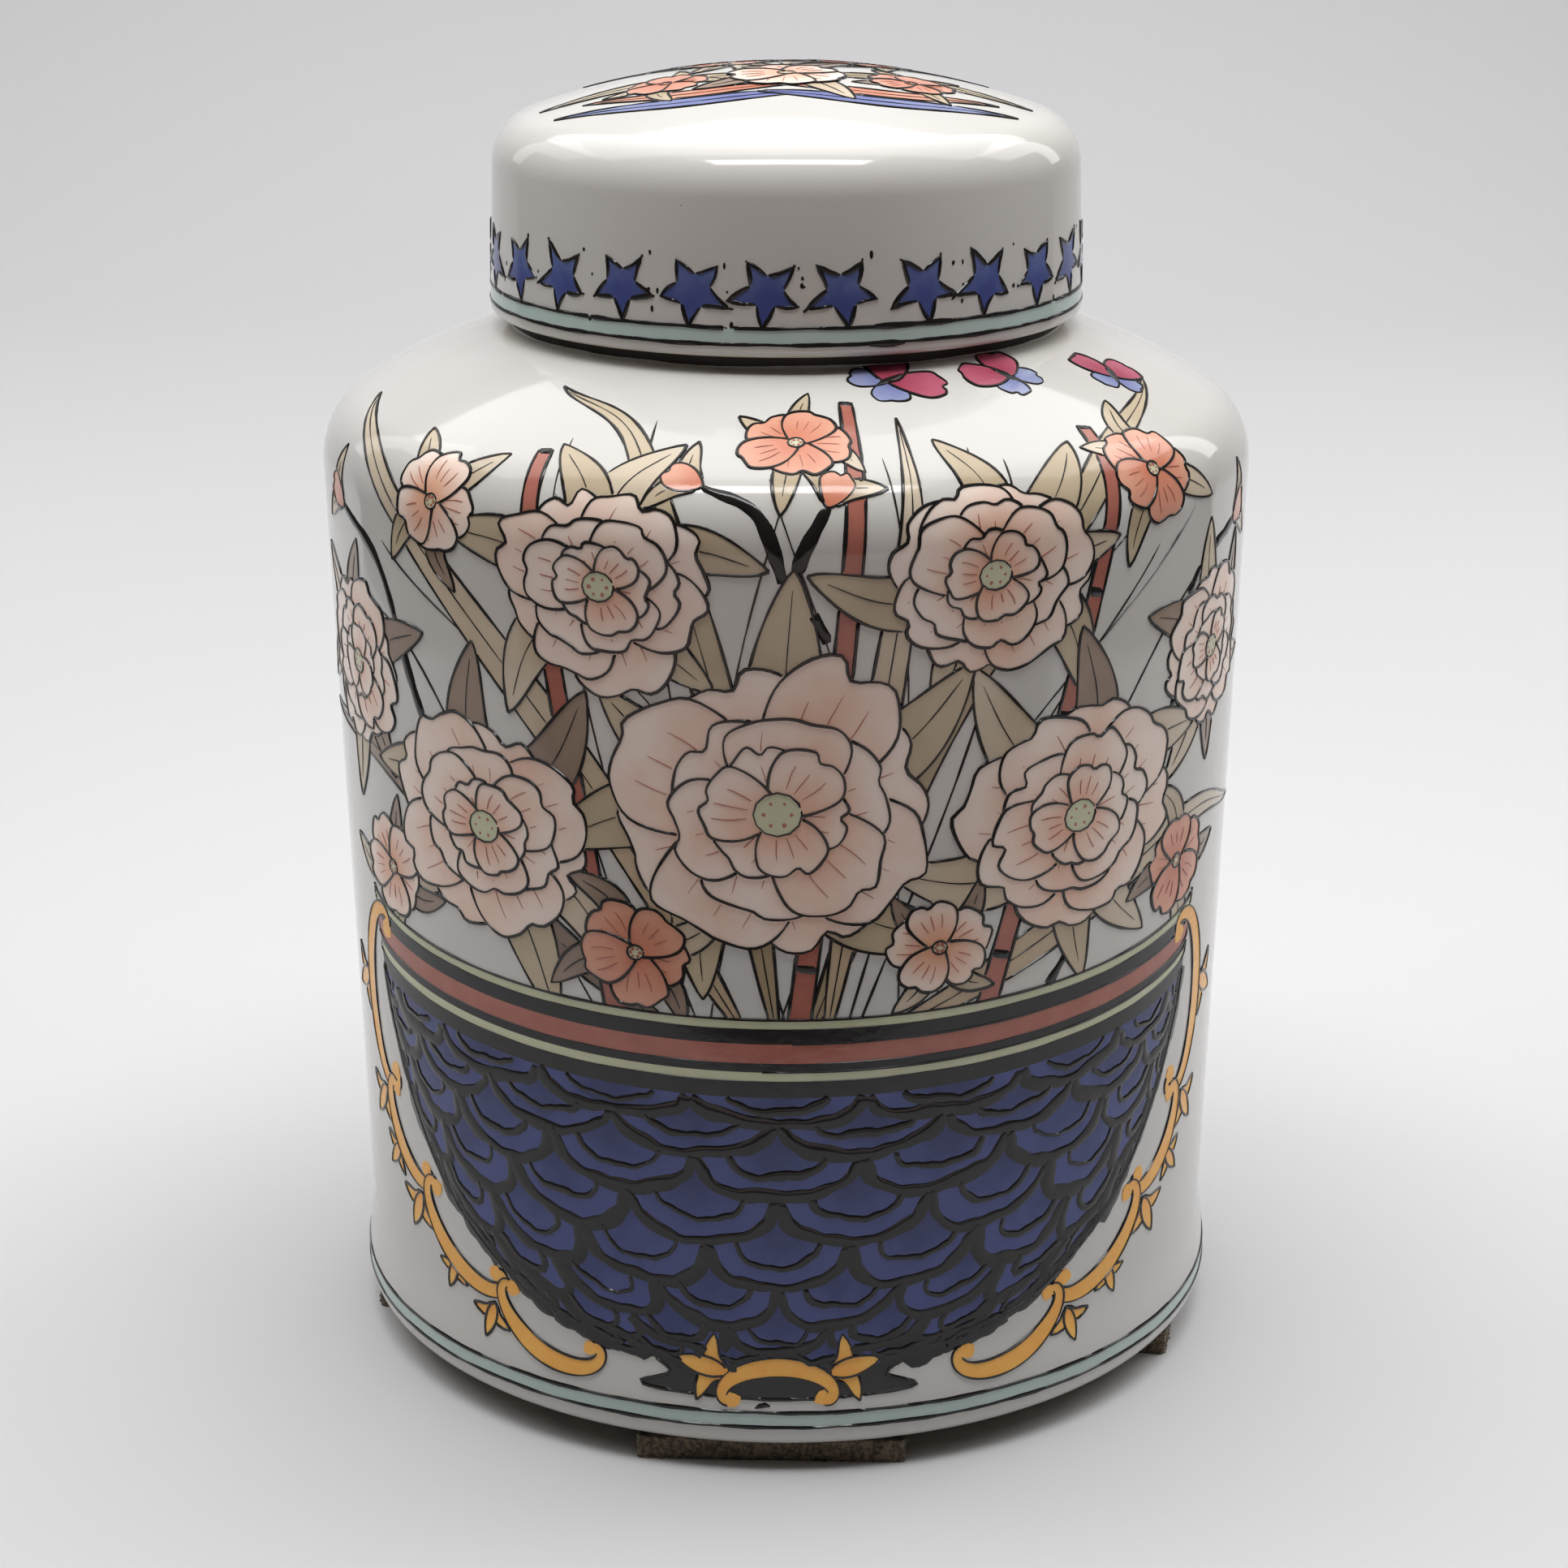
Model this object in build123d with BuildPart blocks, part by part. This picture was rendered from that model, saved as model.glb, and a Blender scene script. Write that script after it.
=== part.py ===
from build123d import *
import os
from math import cos, pi, sin

# Glazed porcelain jar with a drop-over domed lid, standing on four strips of felt.
# Lengths are in millimetres. The jar's axis is Z, the felt stands on z = 0 and the front faces -Y.

# Felt strips under the foot, each with its film of glue, and each strip's bearing as a share of a full turn
felt_length = 58.5
felt_width = 22.0
felt_thickness = 5.2
felt_corner = 1.2
felt_inset = 0.9
glue_thickness = 0.3
glue_inset = 0.5
felt_sides = ("front", "right", "back", "left")
felt_turn_shares = (-0.2556, -0.0306, 0.2389, 0.4889)

# Jar body, outside: a rolled foot, a short flare, a wall that widens upwards and a domed shoulder
foot_radius = 101.0
foot_roll = 4.8
flare_height = 26.0
flare_pull_share = 0.45
flare_inset = 1.4
wall_spread = 4.6
edge_height = 209.2
shoulder_rise = 19.85
shoulder_curve = 150.0
shoulder_round = 17.4

# Jar body, inside and underneath
body_wall = 5.5
floor_thickness = 8.0
floor_round = 14.0
foot_ring_margin = 2.0
foot_recess = 2.5
recess_round = 1.5

# Raised seat under the lid's rim, and the neck inside the lid
seat_margin = 4.1
seat_step = 2.85
neck_clearance = 1.7
neck_height = 14.0
neck_wall = 5.0
neck_lip_share = 0.36
throat_drop = 6.0

# Lid: a tapered wall with a rounded rim, a rounded upper edge and a domed crown
lid_radius = 65.8
lid_taper = 1.2
lid_edge_height = 40.0
lid_edge_round = 11.7
lid_rim_round = 1.2
lid_rim_break = 0.6
lid_wall = 5.9
lid_crown = 5.5
dome_rise = 12.3

# How far a cut runs past the face that it opens
overrun = 10.0

# Heights from the ground up
foot_z = felt_thickness + glue_thickness
floor_z = foot_z + floor_thickness
edge_z = foot_z + edge_height
shoulder_z = edge_z + shoulder_rise
seat_z = shoulder_z + seat_step
neck_z = seat_z + neck_height
lid_edge_z = seat_z + lid_edge_height
crown_z = lid_edge_z + dome_rise

# Radii of the wall, from the foot up
wall_low_radius = foot_radius - flare_inset
edge_radius = wall_low_radius + wall_spread

# Radii that follow from the lid, so that the neck fits inside it and the seat carries its rim
lid_edge_radius = lid_radius - lid_taper
seat_radius = lid_radius - seat_margin
lid_bore_radius = lid_radius - lid_wall
neck_radius = lid_bore_radius - neck_clearance
neck_bore_radius = neck_radius - neck_wall

# The felt strips' radial place, and the foot ring that carries them
foot_flat_radius = foot_radius - foot_roll
felt_reach = foot_flat_radius - felt_inset
felt_middle = felt_reach - felt_width / 2
recess_radius = felt_reach - felt_width - foot_ring_margin

os.makedirs("parts", exist_ok=True)

# Jar body
foot_top = (foot_radius, foot_z + foot_roll)
flare_top = (wall_low_radius, foot_z + flare_height)
shoulder_edge = (edge_radius, edge_z)
wall_lean = wall_spread / (edge_height - flare_height)
flare_pull = flare_pull_share * (flare_height - foot_roll)
flare_pulls = [
    (foot_radius, foot_top[1] + flare_pull),
    (wall_low_radius - wall_lean * flare_pull, flare_top[1] - flare_pull),
]
inner_edge = (edge_radius - body_wall, edge_z - body_wall)
inner_corner = (wall_low_radius - body_wall, floor_z)
throat = (neck_bore_radius, seat_z - throat_drop)

with BuildPart() as jar_body:
    with BuildSketch(Plane.XZ) as outside:
        with BuildLine():
            Polyline((0, neck_z), (0, foot_z), (foot_flat_radius, foot_z))
            RadiusArc((foot_flat_radius, foot_z), foot_top, -foot_roll)
            Bezier(foot_top, *flare_pulls, flare_top)
            Line(flare_top, shoulder_edge)
            RadiusArc(shoulder_edge, (seat_radius, shoulder_z), -shoulder_curve)
            Polyline((seat_radius, shoulder_z), (seat_radius, seat_z), (neck_radius, seat_z))
            Polyline((neck_radius, seat_z), (neck_radius, neck_z), (0, neck_z))
        make_face()
        fillet(outside.vertices().sort_by_distance(shoulder_edge)[0], radius=shoulder_round)
    revolve(axis=Axis.Z)
    with BuildSketch(Plane.XZ) as inside:
        with BuildLine():
            Polyline((0, neck_z + overrun), (0, floor_z), inner_corner, inner_edge)
            RadiusArc(inner_edge, throat, body_wall - shoulder_curve)
            Polyline(throat, (neck_bore_radius, neck_z + overrun), (0, neck_z + overrun))
        make_face()
        fillet(inside.vertices().sort_by_distance(inner_edge)[0], radius=shoulder_round - body_wall)
        fillet(inside.vertices().sort_by_distance(inner_corner)[0], radius=floor_round)
    revolve(axis=Axis.Z, mode=Mode.SUBTRACT)
    with BuildSketch(Plane.XY.offset(foot_z)):
        Circle(recess_radius)
    extrude(amount=foot_recess, mode=Mode.SUBTRACT)
    fillet(jar_body.edges().filter_by_position(Axis.Z, neck_z, neck_z), radius=neck_lip_share * neck_wall)
    recess_edge = jar_body.edges().filter_by_position(Axis.Z, foot_z, foot_z).sort_by(SortBy.RADIUS)[0]
    fillet(recess_edge, radius=recess_round)
jar_body.part.label = "jar_body"
export_step(jar_body.part, "parts/jar_body.step")

# Lid
lid_edge = (lid_edge_radius, lid_edge_z)
lid_bore_edge_radius = lid_edge_radius - lid_wall
lid_bore_crown_z = crown_z - lid_crown
lid_bore_rise = dome_rise * (lid_bore_edge_radius / lid_edge_radius) ** 2
lid_bore_edge = (lid_bore_edge_radius, lid_bore_crown_z - lid_bore_rise)
lid_bore_rim = (lid_bore_radius, seat_z)

with BuildPart() as lid:
    with BuildSketch(Plane.XZ) as crown:
        with BuildLine():
            Polyline((0, crown_z), (0, seat_z), (lid_radius, seat_z), lid_edge)
            TangentArc((0, crown_z), lid_edge, tangent=(1, 0))
        make_face()
        fillet(crown.vertices().sort_by_distance(lid_edge)[0], radius=lid_edge_round)
        fillet(crown.vertices().sort_by_distance((lid_radius, seat_z))[0], radius=lid_rim_round)
    revolve(axis=Axis.Z)
    with BuildSketch(Plane.XZ) as hollow:
        with BuildLine():
            Polyline((0, lid_bore_crown_z), (0, seat_z), lid_bore_rim, lid_bore_edge)
            TangentArc((0, lid_bore_crown_z), lid_bore_edge, tangent=(1, 0))
        make_face()
        fillet(hollow.vertices().sort_by_distance(lid_bore_edge)[0], radius=lid_edge_round - lid_wall)
    revolve(axis=Axis.Z, mode=Mode.SUBTRACT)
    rim_edge = lid.edges().filter_by_position(Axis.Z, seat_z, seat_z).sort_by(SortBy.RADIUS)[0]
    fillet(rim_edge, radius=lid_rim_break)
lid.part.label = "lid"
export_step(lid.part, "parts/lid.step")

# Felt strips, each square to its own bearing, with the film of glue between felt and foot
for side, turn_share in zip(felt_sides, felt_turn_shares):
    bearing = 2 * pi * turn_share
    outward = (cos(bearing), sin(bearing), 0)
    middle = (felt_middle * outward[0], felt_middle * outward[1], 0)
    ground = Plane(origin=middle, x_dir=outward, z_dir=(0, 0, 1))

    with BuildPart() as felt_pad:
        with BuildSketch(ground):
            RectangleRounded(felt_width, felt_length, felt_corner)
        extrude(amount=felt_thickness)
    felt_pad.part.label = f"felt_pad_{side}"
    export_step(felt_pad.part, f"parts/felt_pad_{side}.step")

    with BuildPart() as pad_glue:
        with BuildSketch(ground.offset(felt_thickness)):
            RectangleRounded(felt_width - 2 * glue_inset, felt_length - 2 * glue_inset, felt_corner)
        extrude(amount=glue_thickness)
    pad_glue.part.label = f"pad_glue_{side}"
    export_step(pad_glue.part, f"parts/pad_glue_{side}.step")
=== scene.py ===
"""Looks of a glazed porcelain jar with a drop-over lid, painted in raised enamels, on strips of felt.

Sizes and drawings are in millimetres. Meshes are written in metres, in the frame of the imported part.
"""

import logging
import math
from collections.abc import Iterable, Sequence
from dataclasses import dataclass
from enum import Enum

import bmesh
import bpy
import numpy as np
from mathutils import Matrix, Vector


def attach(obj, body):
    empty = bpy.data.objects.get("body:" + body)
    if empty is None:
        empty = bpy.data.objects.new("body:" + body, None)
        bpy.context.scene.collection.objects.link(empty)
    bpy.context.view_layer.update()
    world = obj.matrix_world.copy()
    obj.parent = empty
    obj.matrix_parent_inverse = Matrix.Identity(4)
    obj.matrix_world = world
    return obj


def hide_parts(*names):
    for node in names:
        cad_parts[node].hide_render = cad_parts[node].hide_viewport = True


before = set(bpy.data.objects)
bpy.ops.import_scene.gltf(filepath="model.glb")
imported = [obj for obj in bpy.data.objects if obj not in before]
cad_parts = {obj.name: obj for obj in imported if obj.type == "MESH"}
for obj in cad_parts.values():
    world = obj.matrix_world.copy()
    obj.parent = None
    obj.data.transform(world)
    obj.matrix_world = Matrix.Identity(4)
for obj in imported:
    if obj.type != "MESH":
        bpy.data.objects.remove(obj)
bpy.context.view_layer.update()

LOG = logging.getLogger("jar")
MM = 0.001
TURN = 2 * math.pi

Point = tuple[float, float]
Colour = tuple[float, float, float]


class Sock:
    """An output of a node, with the operators that shader maths is written in."""

    def __init__(self, shader: "Shader", socket: bpy.types.NodeSocket) -> None:
        """Keep the socket and the shader that it belongs to."""
        self.shader = shader
        self.socket = socket

    def __add__(self, other: "Sock | float") -> "Sock":
        """Add a value."""
        return self.shader.maths("ADD", self, other)

    __radd__ = __add__

    def __sub__(self, other: "Sock | float") -> "Sock":
        """Take a value away."""
        return self.shader.maths("SUBTRACT", self, other)

    def __rsub__(self, other: float) -> "Sock":
        """Take this from a value."""
        return self.shader.maths("SUBTRACT", other, self)

    def __mul__(self, other: "Sock | float") -> "Sock":
        """Multiply by a value."""
        return self.shader.maths("MULTIPLY", self, other)

    __rmul__ = __mul__

    def __lt__(self, other: "Sock | float") -> "Sock":
        """Give 1 where this is below a value, and 0 elsewhere."""
        return self.shader.maths("LESS_THAN", self, other)

    def __gt__(self, other: "Sock | float") -> "Sock":
        """Give 1 where this is above a value, and 0 elsewhere."""
        return self.shader.maths("GREATER_THAN", self, other)

    def ease(self, low: float, high: float) -> "Sock":
        """Give 0 below low, 1 above high, and a smooth step between them."""
        limits = {"Value": self, "From Min": low, "From Max": high}
        return self.shader.node("ShaderNodeMapRange", {"interpolation_type": "SMOOTHSTEP"}, limits)


class Shader:
    """One material's nodes."""

    def __init__(self, name: str) -> None:
        """Start an empty material.

        Args:
            name: The material's name.
        """
        self.material = bpy.data.materials.new(name)
        self.material.use_nodes = True
        self.material.node_tree.nodes.clear()

    def node(self, kind: str, settings: dict | None = None, inputs: dict | None = None,
             output: int = 0) -> Sock:
        """Make a node.

        Args:
            kind: The node's type.
            settings: Its own properties, which are set before its sockets.
            inputs: A value or a link for each socket, by the socket's name or number.
            output: The number of the output that is given back.

        Returns:
            The output, or the node's first input where it has no output.
        """
        made = self.material.node_tree.nodes.new(kind)
        for key, value in (settings or {}).items():
            setattr(made, key, value)
        for key, value in (inputs or {}).items():
            if isinstance(value, Sock):
                self.material.node_tree.links.new(value.socket, made.inputs[key])
            else:
                made.inputs[key].default_value = value
        return Sock(self, made.outputs[output] if made.outputs else made.inputs[0])

    def maths(self, operation: str, left: Sock | float, right: Sock | float) -> Sock:
        """Add a Math node for one operator."""
        return self.node("ShaderNodeMath", {"operation": operation}, {0: left, 1: right})

    def blend(self, share: Sock, first: Sock | Colour, second: Sock | Colour) -> Sock:
        """Mix two colours.

        Args:
            share: How much of the second colour there is.
            first: The colour at a share of 0.
            second: The colour at a share of 1.

        Returns:
            The mixed colour.
        """
        ends = [c if isinstance(c, Sock) else (*c, 1.0) for c in (first, second)]
        return self.node("ShaderNodeMix", {"data_type": "RGBA"}, {0: share, 6: ends[0], 7: ends[1]}, 2)

    def place(self, stretch: Sequence[float] = (1, 1, 1)) -> Sock:
        """Give the place on the piece in metres, stretched along its axes."""
        here = self.node("ShaderNodeTexCoord", {}, {}, 3)
        return self.node("ShaderNodeMapping", {}, {"Vector": here, "Scale": stretch})

    def noise(self, scale: float, detail: float = 2.0, stretch: Sequence[float] = (1, 1, 1)) -> Sock:
        """Give a cloudy value around 0.5, with about scale clouds to the metre."""
        sockets = {"Vector": self.place(stretch), "Scale": scale, "Detail": detail}
        return self.node("ShaderNodeTexNoise", {}, sockets)

    def wash(self) -> Sock:
        """Give the enamel's own share of wash, 0 at the root of a brush stroke and 1 at its tip."""
        return self.node("ShaderNodeAttribute", {"attribute_name": "wash"}, {}, 2)

    def bump(self, height: Sock, depth: float) -> Sock:
        """Turn a height into a normal.

        Args:
            height: The height, as a share of the depth.
            depth: The depth of the relief in millimetres.

        Returns:
            The normal.
        """
        return self.node("ShaderNodeBump", {}, {"Height": height, "Distance": depth * MM})

    def finish(self, inputs: dict) -> bpy.types.Material:
        """Close the tree with a Principled shader and its output.

        Args:
            inputs: The shader's sockets.

        Returns:
            The material.
        """
        surface = self.node("ShaderNodeBsdfPrincipled", {}, inputs)
        self.node("ShaderNodeOutputMaterial", {}, {"Surface": surface})
        return self.material


@dataclass(frozen=True)
class Glaze:
    """Glossy clear glaze over white porcelain, bare biscuit where it was wiped off.

    Heights are in millimetres: the clay is bare below low, and from sill up within the bare radius, where
    the joint under the lid is painted nearly black as painted shade. Scales are clouds or cells to the
    metre.
    """

    name: str
    low: float
    ragged: float
    sill: float = 999.0
    bare_radius: float = 1.0
    cream: Colour = (0.63, 0.608, 0.574)
    white: Colour = (0.646, 0.631, 0.604)
    biscuit: Colour = (0.40, 0.345, 0.27)
    chalk: Colour = (0.52, 0.47, 0.39)
    # Painted shade: the near-black colour of the joint under the lid, and how far in from the bare radius
    # it reaches.
    joint_shade: Colour = (0.022, 0.018, 0.014)
    joint_shade_reach: float = 0.9
    speck: Colour = (0.16, 0.12, 0.09)
    speck_size: float = 0.022
    speck_rarity: float = 0.8
    speck_strength: float = 0.8
    cloud_scale: float = 16.0
    cell_scale: float = 95.0
    edge_scale: float = 60.0
    clay_scale: float = 700.0
    gloss: float = 0.045
    clay_roughness: float = 0.5
    wave_depth: float = 0.16
    ior: float = 1.5

    def material(self) -> bpy.types.Material:
        """Make the material: clouded white, a few iron specks, wavy gloss, dull bare clay, and painted
        shade in the joint under the lid.

        Returns:
            The material.
        """
        shader = Shader(self.name)
        cloud = shader.noise(self.cloud_scale, 3).ease(0.35, 0.65)
        white = shader.blend(cloud, self.cream, self.white)
        cells = {"Vector": shader.place(), "Scale": self.cell_scale}
        near = shader.node("ShaderNodeTexVoronoi", {}, cells)
        which = shader.node("ShaderNodeTexVoronoi", {}, cells, 1)
        chance = shader.node("ShaderNodeSeparateColor", {}, {"Color": which})
        specks = (near < self.speck_size) * (chance > self.speck_rarity)
        here = shader.node("ShaderNodeSeparateXYZ", {}, {"Vector": shader.place()}, 2)
        flat = shader.node("ShaderNodeVectorMath", {"operation": "LENGTH"}, {0: shader.place((1, 1, 0))}, 1)
        edge = shader.noise(self.edge_scale, 3) * (self.ragged * MM)
        foot = here < (edge + (self.low - self.ragged / 2) * MM)
        sill = (here > (edge + (self.sill - self.ragged / 2) * MM)) * (flat < self.bare_radius * MM)
        bare = shader.maths("MAXIMUM", foot, sill)
        # Painted shade: the outer band of the bare seat under the lid is coloured nearly black, standing in
        # for the shadow in the gap under the lid's rim.
        joint = sill * (flat > (self.bare_radius - self.joint_shade_reach) * MM)
        body = shader.blend(shader.noise(self.clay_scale, 4), self.biscuit, self.chalk)
        clay = shader.blend(joint, body, self.joint_shade)
        colour = shader.blend(bare, shader.blend(specks * self.speck_strength, white, self.speck), clay)
        waves = shader.noise(28, 1) * 0.8 + shader.noise(420, 2) * 0.035
        return shader.finish({
            "Base Color": colour,
            "Roughness": shader.noise(40, 2) * 0.05 + self.gloss + bare * self.clay_roughness,
            "Normal": shader.bump(waves + bare * shader.noise(1500, 3) * 0.3, self.wave_depth),
            "IOR": self.ior,
        })


@dataclass(frozen=True)
class Enamel:
    """A colour that is painted on the glaze and fired, thin and glossy.

    The wash runs from deep at the root of a brush stroke to light at its tip.
    """

    name: str
    deep: Colour
    light: Colour
    roughness: float = 0.1
    brush: float = 0.35
    clouds: float = 170.0
    relief: float = 0.03
    ior: float = 1.44

    def material(self) -> bpy.types.Material:
        """Make the material: a brushed wash with cloudy pooling and a softly uneven gloss.

        Returns:
            The material.
        """
        shader = Shader("enamel_" + self.name)
        marks = shader.noise(self.clouds, 4) - 0.5
        share = (shader.wash() + marks * (2 * self.brush)).ease(0.0, 1.0)
        rough = shader.noise(350, 3) * (self.roughness * 0.7) + self.roughness * 0.65
        return shader.finish({
            "Base Color": shader.blend(share, self.deep, self.light),
            "Roughness": rough,
            "Normal": shader.bump(shader.noise(480, 3), self.relief),
            "IOR": self.ior,
        })


class Ink(Enum):
    """The colours on the painter's palette."""

    LINE = Enamel("line", (0.010, 0.009, 0.009), (0.028, 0.025, 0.023), 0.13)
    COBALT = Enamel("cobalt", (0.025, 0.036, 0.14), (0.06, 0.078, 0.245), 0.09, brush=0.6, clouds=120)
    STAR = Enamel("star", (0.065, 0.084, 0.26), (0.152, 0.194, 0.40), 0.09, brush=0.6, clouds=150)
    CELADON = Enamel("celadon", (0.43, 0.57, 0.52), (0.51, 0.625, 0.585), 0.08)
    SALMON = Enamel("salmon", (0.78, 0.40, 0.255), (0.93, 0.80, 0.71), 0.1, brush=0.5, clouds=60)
    TAN = Enamel("tan", (0.53, 0.40, 0.265), (0.65, 0.555, 0.43), 0.1, brush=0.45, clouds=80)
    KHAKI = Enamel("khaki", (0.40, 0.31, 0.195), (0.57, 0.47, 0.33), 0.1, brush=0.45, clouds=80)
    BROWN = Enamel("brown", (0.20, 0.136, 0.10), (0.34, 0.25, 0.19), 0.1, brush=0.45, clouds=80)
    BRICK = Enamel("brick", (0.35, 0.11, 0.085), (0.48, 0.185, 0.135), 0.1)
    YELLOW = Enamel("pale_yellow", (0.56, 0.57, 0.36), (0.63, 0.64, 0.47), 0.1)
    ORANGE = Enamel("orange", (0.63, 0.22, 0.135), (0.75, 0.39, 0.275), 0.1)
    RASPBERRY = Enamel("raspberry", (0.36, 0.05, 0.092), (0.48, 0.11, 0.17), 0.1)
    PERIWINKLE = Enamel("periwinkle", (0.155, 0.18, 0.41), (0.28, 0.315, 0.50), 0.1)
    GOLD = Enamel("gold", (0.95, 0.40, 0.065), (1.0, 0.56, 0.12), 0.25, relief=0.05)


@dataclass(frozen=True)
class Felt:
    """Pressed brown felt with a fuzzy edge."""

    dark: Colour = (0.075, 0.057, 0.04)
    brown: Colour = (0.21, 0.155, 0.10)
    fuzz: Colour = (0.33, 0.26, 0.175)
    mat_scale: float = 900.0
    hair_scale: float = 2600.0
    nap_scale: float = 1400.0
    nap_depth: float = 0.5

    def material(self) -> bpy.types.Material:
        """Make the material: matted fibres in two browns with pale loose hairs.

        Returns:
            The material.
        """
        shader = Shader("felt_brown")
        mat = shader.noise(self.mat_scale, 6).ease(0.36, 0.62)
        hairs = shader.noise(self.hair_scale, 4, (1, 1, 0.25)).ease(0.55, 0.75)
        colour = shader.blend(hairs * 0.7, shader.blend(mat, self.dark, self.brown), self.fuzz)
        return shader.finish({
            "Base Color": colour,
            "Roughness": 0.96,
            "Sheen Weight": 0.25,
            "Sheen Roughness": 0.5,
            "Normal": shader.bump(shader.noise(self.nap_scale, 5), self.nap_depth),
        })


@dataclass(frozen=True)
class Glue:
    """The dull brown film of a self-adhesive strip."""

    dark: Colour = (0.03, 0.022, 0.016)
    light: Colour = (0.075, 0.055, 0.04)

    def material(self) -> bpy.types.Material:
        """Make the material: a streaky film with grit in it.

        Returns:
            The material.
        """
        shader = Shader("glue_film")
        return shader.finish({
            "Base Color": shader.blend(shader.noise(500, 4).ease(0.35, 0.65), self.dark, self.light),
            "Roughness": shader.noise(240, 2) * 0.4 + 0.3,
            "Normal": shader.bump(shader.noise(1200, 4), 0.1),
        })


@dataclass(frozen=True)
class Paper:
    """The pale paper that the jar stands on, a little brighter where it rises behind."""

    shade: Colour = (0.62, 0.618, 0.627)
    pale: Colour = (0.81, 0.805, 0.816)
    rise: tuple[float, float] = (0.4, 1.9)

    def material(self) -> bpy.types.Material:
        """Make the material: faintly clouded matt paper.

        Returns:
            The material.
        """
        shader = Shader("paper_pale")
        depth = shader.node("ShaderNodeSeparateXYZ", {}, {"Vector": shader.place()}, 1)
        share = depth.ease(*self.rise) + shader.noise(3, 3) * 0.1
        return shader.finish({
            "Base Color": shader.blend(share, self.shade, self.pale),
            "Roughness": 0.85,
            "Specular IOR Level": 0.2,
        })


@dataclass(frozen=True)
class Card:
    """The dark card that the glaze mirrors at the jar's sides."""

    black: Colour = (0.03, 0.03, 0.03)
    grey: Colour = (0.05, 0.05, 0.05)

    def material(self) -> bpy.types.Material:
        """Make the material: matt black card.

        Returns:
            The material.
        """
        shader = Shader("card_black")
        return shader.finish({
            "Base Color": shader.blend(shader.noise(8, 2), self.black, self.grey),
            "Roughness": 0.95,
        })


class Section:
    """The half-section of a turned piece, drawn point by point as (radius, height)."""

    SAG = 0.008

    def __init__(self, start: Point) -> None:
        """Start the outline at a point."""
        self.points = [np.array(start, float)]

    def to(self, *points: Point) -> "Section":
        """Go straight to each point in turn."""
        self.points += [np.array(p, float) for p in points]
        return self

    def sweep(self, centre: Point, end: Point) -> "Section":
        """Go round a centre to an end point, the short way, in chords that stay close to the arc.

        Args:
            centre: The arc's centre.
            end: Where the arc ends, as far from the centre as the last point is.

        Returns:
            This section.
        """
        middle = np.array(centre, float)
        arm = self.points[-1] - middle
        goal = np.array(end, float) - middle
        radius = np.hypot(*arm)
        angle = math.atan2(arm[0] * goal[1] - arm[1] * goal[0], arm @ goal)
        steps = math.ceil(abs(angle) / (2 * math.sqrt(2 * self.SAG / radius)))
        for turn in np.linspace(0, angle, steps + 1)[1:]:
            c, s = math.cos(turn), math.sin(turn)
            self.points.append(middle + (c * arm[0] - s * arm[1], s * arm[0] + c * arm[1]))
        return self

    def round(self, corner: Point, ahead: Point, radius: float) -> "Section":
        """Round a corner between two straight runs.

        Args:
            corner: The sharp corner.
            ahead: A point on the run that follows it.
            radius: The radius of the rounding.

        Returns:
            This section, which ends where the rounding does.
        """
        tip = np.array(corner, float)
        back = self.points[-1] - tip
        back /= np.hypot(*back)
        onward = np.array(ahead, float) - tip
        onward /= np.hypot(*onward)
        half = math.acos(back @ onward) / 2
        middle = tip + (back + onward) / np.hypot(*(back + onward)) * radius / math.sin(half)
        reach = radius / math.tan(half)
        return self.to(tip + back * reach).sweep(middle, tip + onward * reach)

    def round_onto(self, corner: Point, centre: Point, radius: float) -> "Section":
        """Round a corner between a straight run and a large arc that bulges outwards.

        Args:
            corner: The sharp corner.
            centre: The large arc's centre.
            radius: The radius of the rounding.

        Returns:
            This section, which ends where the rounding meets the arc.
        """
        tip, heart = np.array(corner, float), np.array(centre, float)
        along = tip - self.points[-1]
        along /= np.hypot(*along)
        inward = np.array((-along[1], along[0]))
        start = tip + radius * inward - heart
        gap = np.hypot(*(tip - heart)) - radius
        lead = start @ along
        travel = -lead + math.sqrt(lead**2 - start @ start + gap**2)
        middle = heart + start + travel * along
        outward = (middle - heart) / np.hypot(*(middle - heart))
        return self.to(tip + travel * along).sweep(middle, middle + outward * radius)

    def array(self) -> np.ndarray:
        """Give the points as rows of radius and height."""
        return np.array(self.points)


def arc_centre(start: Point, end: Point, radius: float) -> Point:
    """Give the centre of the arc that goes anticlockwise from start to end.

    Args:
        start: The arc's first point.
        end: Its last point.
        radius: Its radius.

    Returns:
        The centre.
    """
    first, last = np.array(start, float), np.array(end, float)
    chord = last - first
    half = np.hypot(*chord) / 2
    side = np.array((-chord[1], chord[0])) / (2 * half)
    return tuple((first + last) / 2 + side * math.sqrt(radius**2 - half**2))


def run_along(path: np.ndarray) -> np.ndarray:
    """Give the distance along a path at each of its points."""
    return np.concatenate(((0.0,), np.cumsum(np.hypot(*np.diff(path, axis=0).T))))


def turning(angle: float) -> np.ndarray:
    """Give the matrix that turns rows of across and up by an angle."""
    return np.array(((math.cos(angle), math.sin(angle)), (-math.sin(angle), math.cos(angle))))


def polar(middle: Point, steps: Iterable[Point]) -> list[Point]:
    """Give the points at each distance and direction from a middle."""
    return [(middle[0] + far * math.cos(turn), middle[1] + far * math.sin(turn)) for far, turn in steps]


def verts_in(geom: Iterable) -> list[bmesh.types.BMVert]:
    """Pick the vertices out of what a mesh operator gives back."""
    return [part for part in geom if isinstance(part, bmesh.types.BMVert)]


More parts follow.
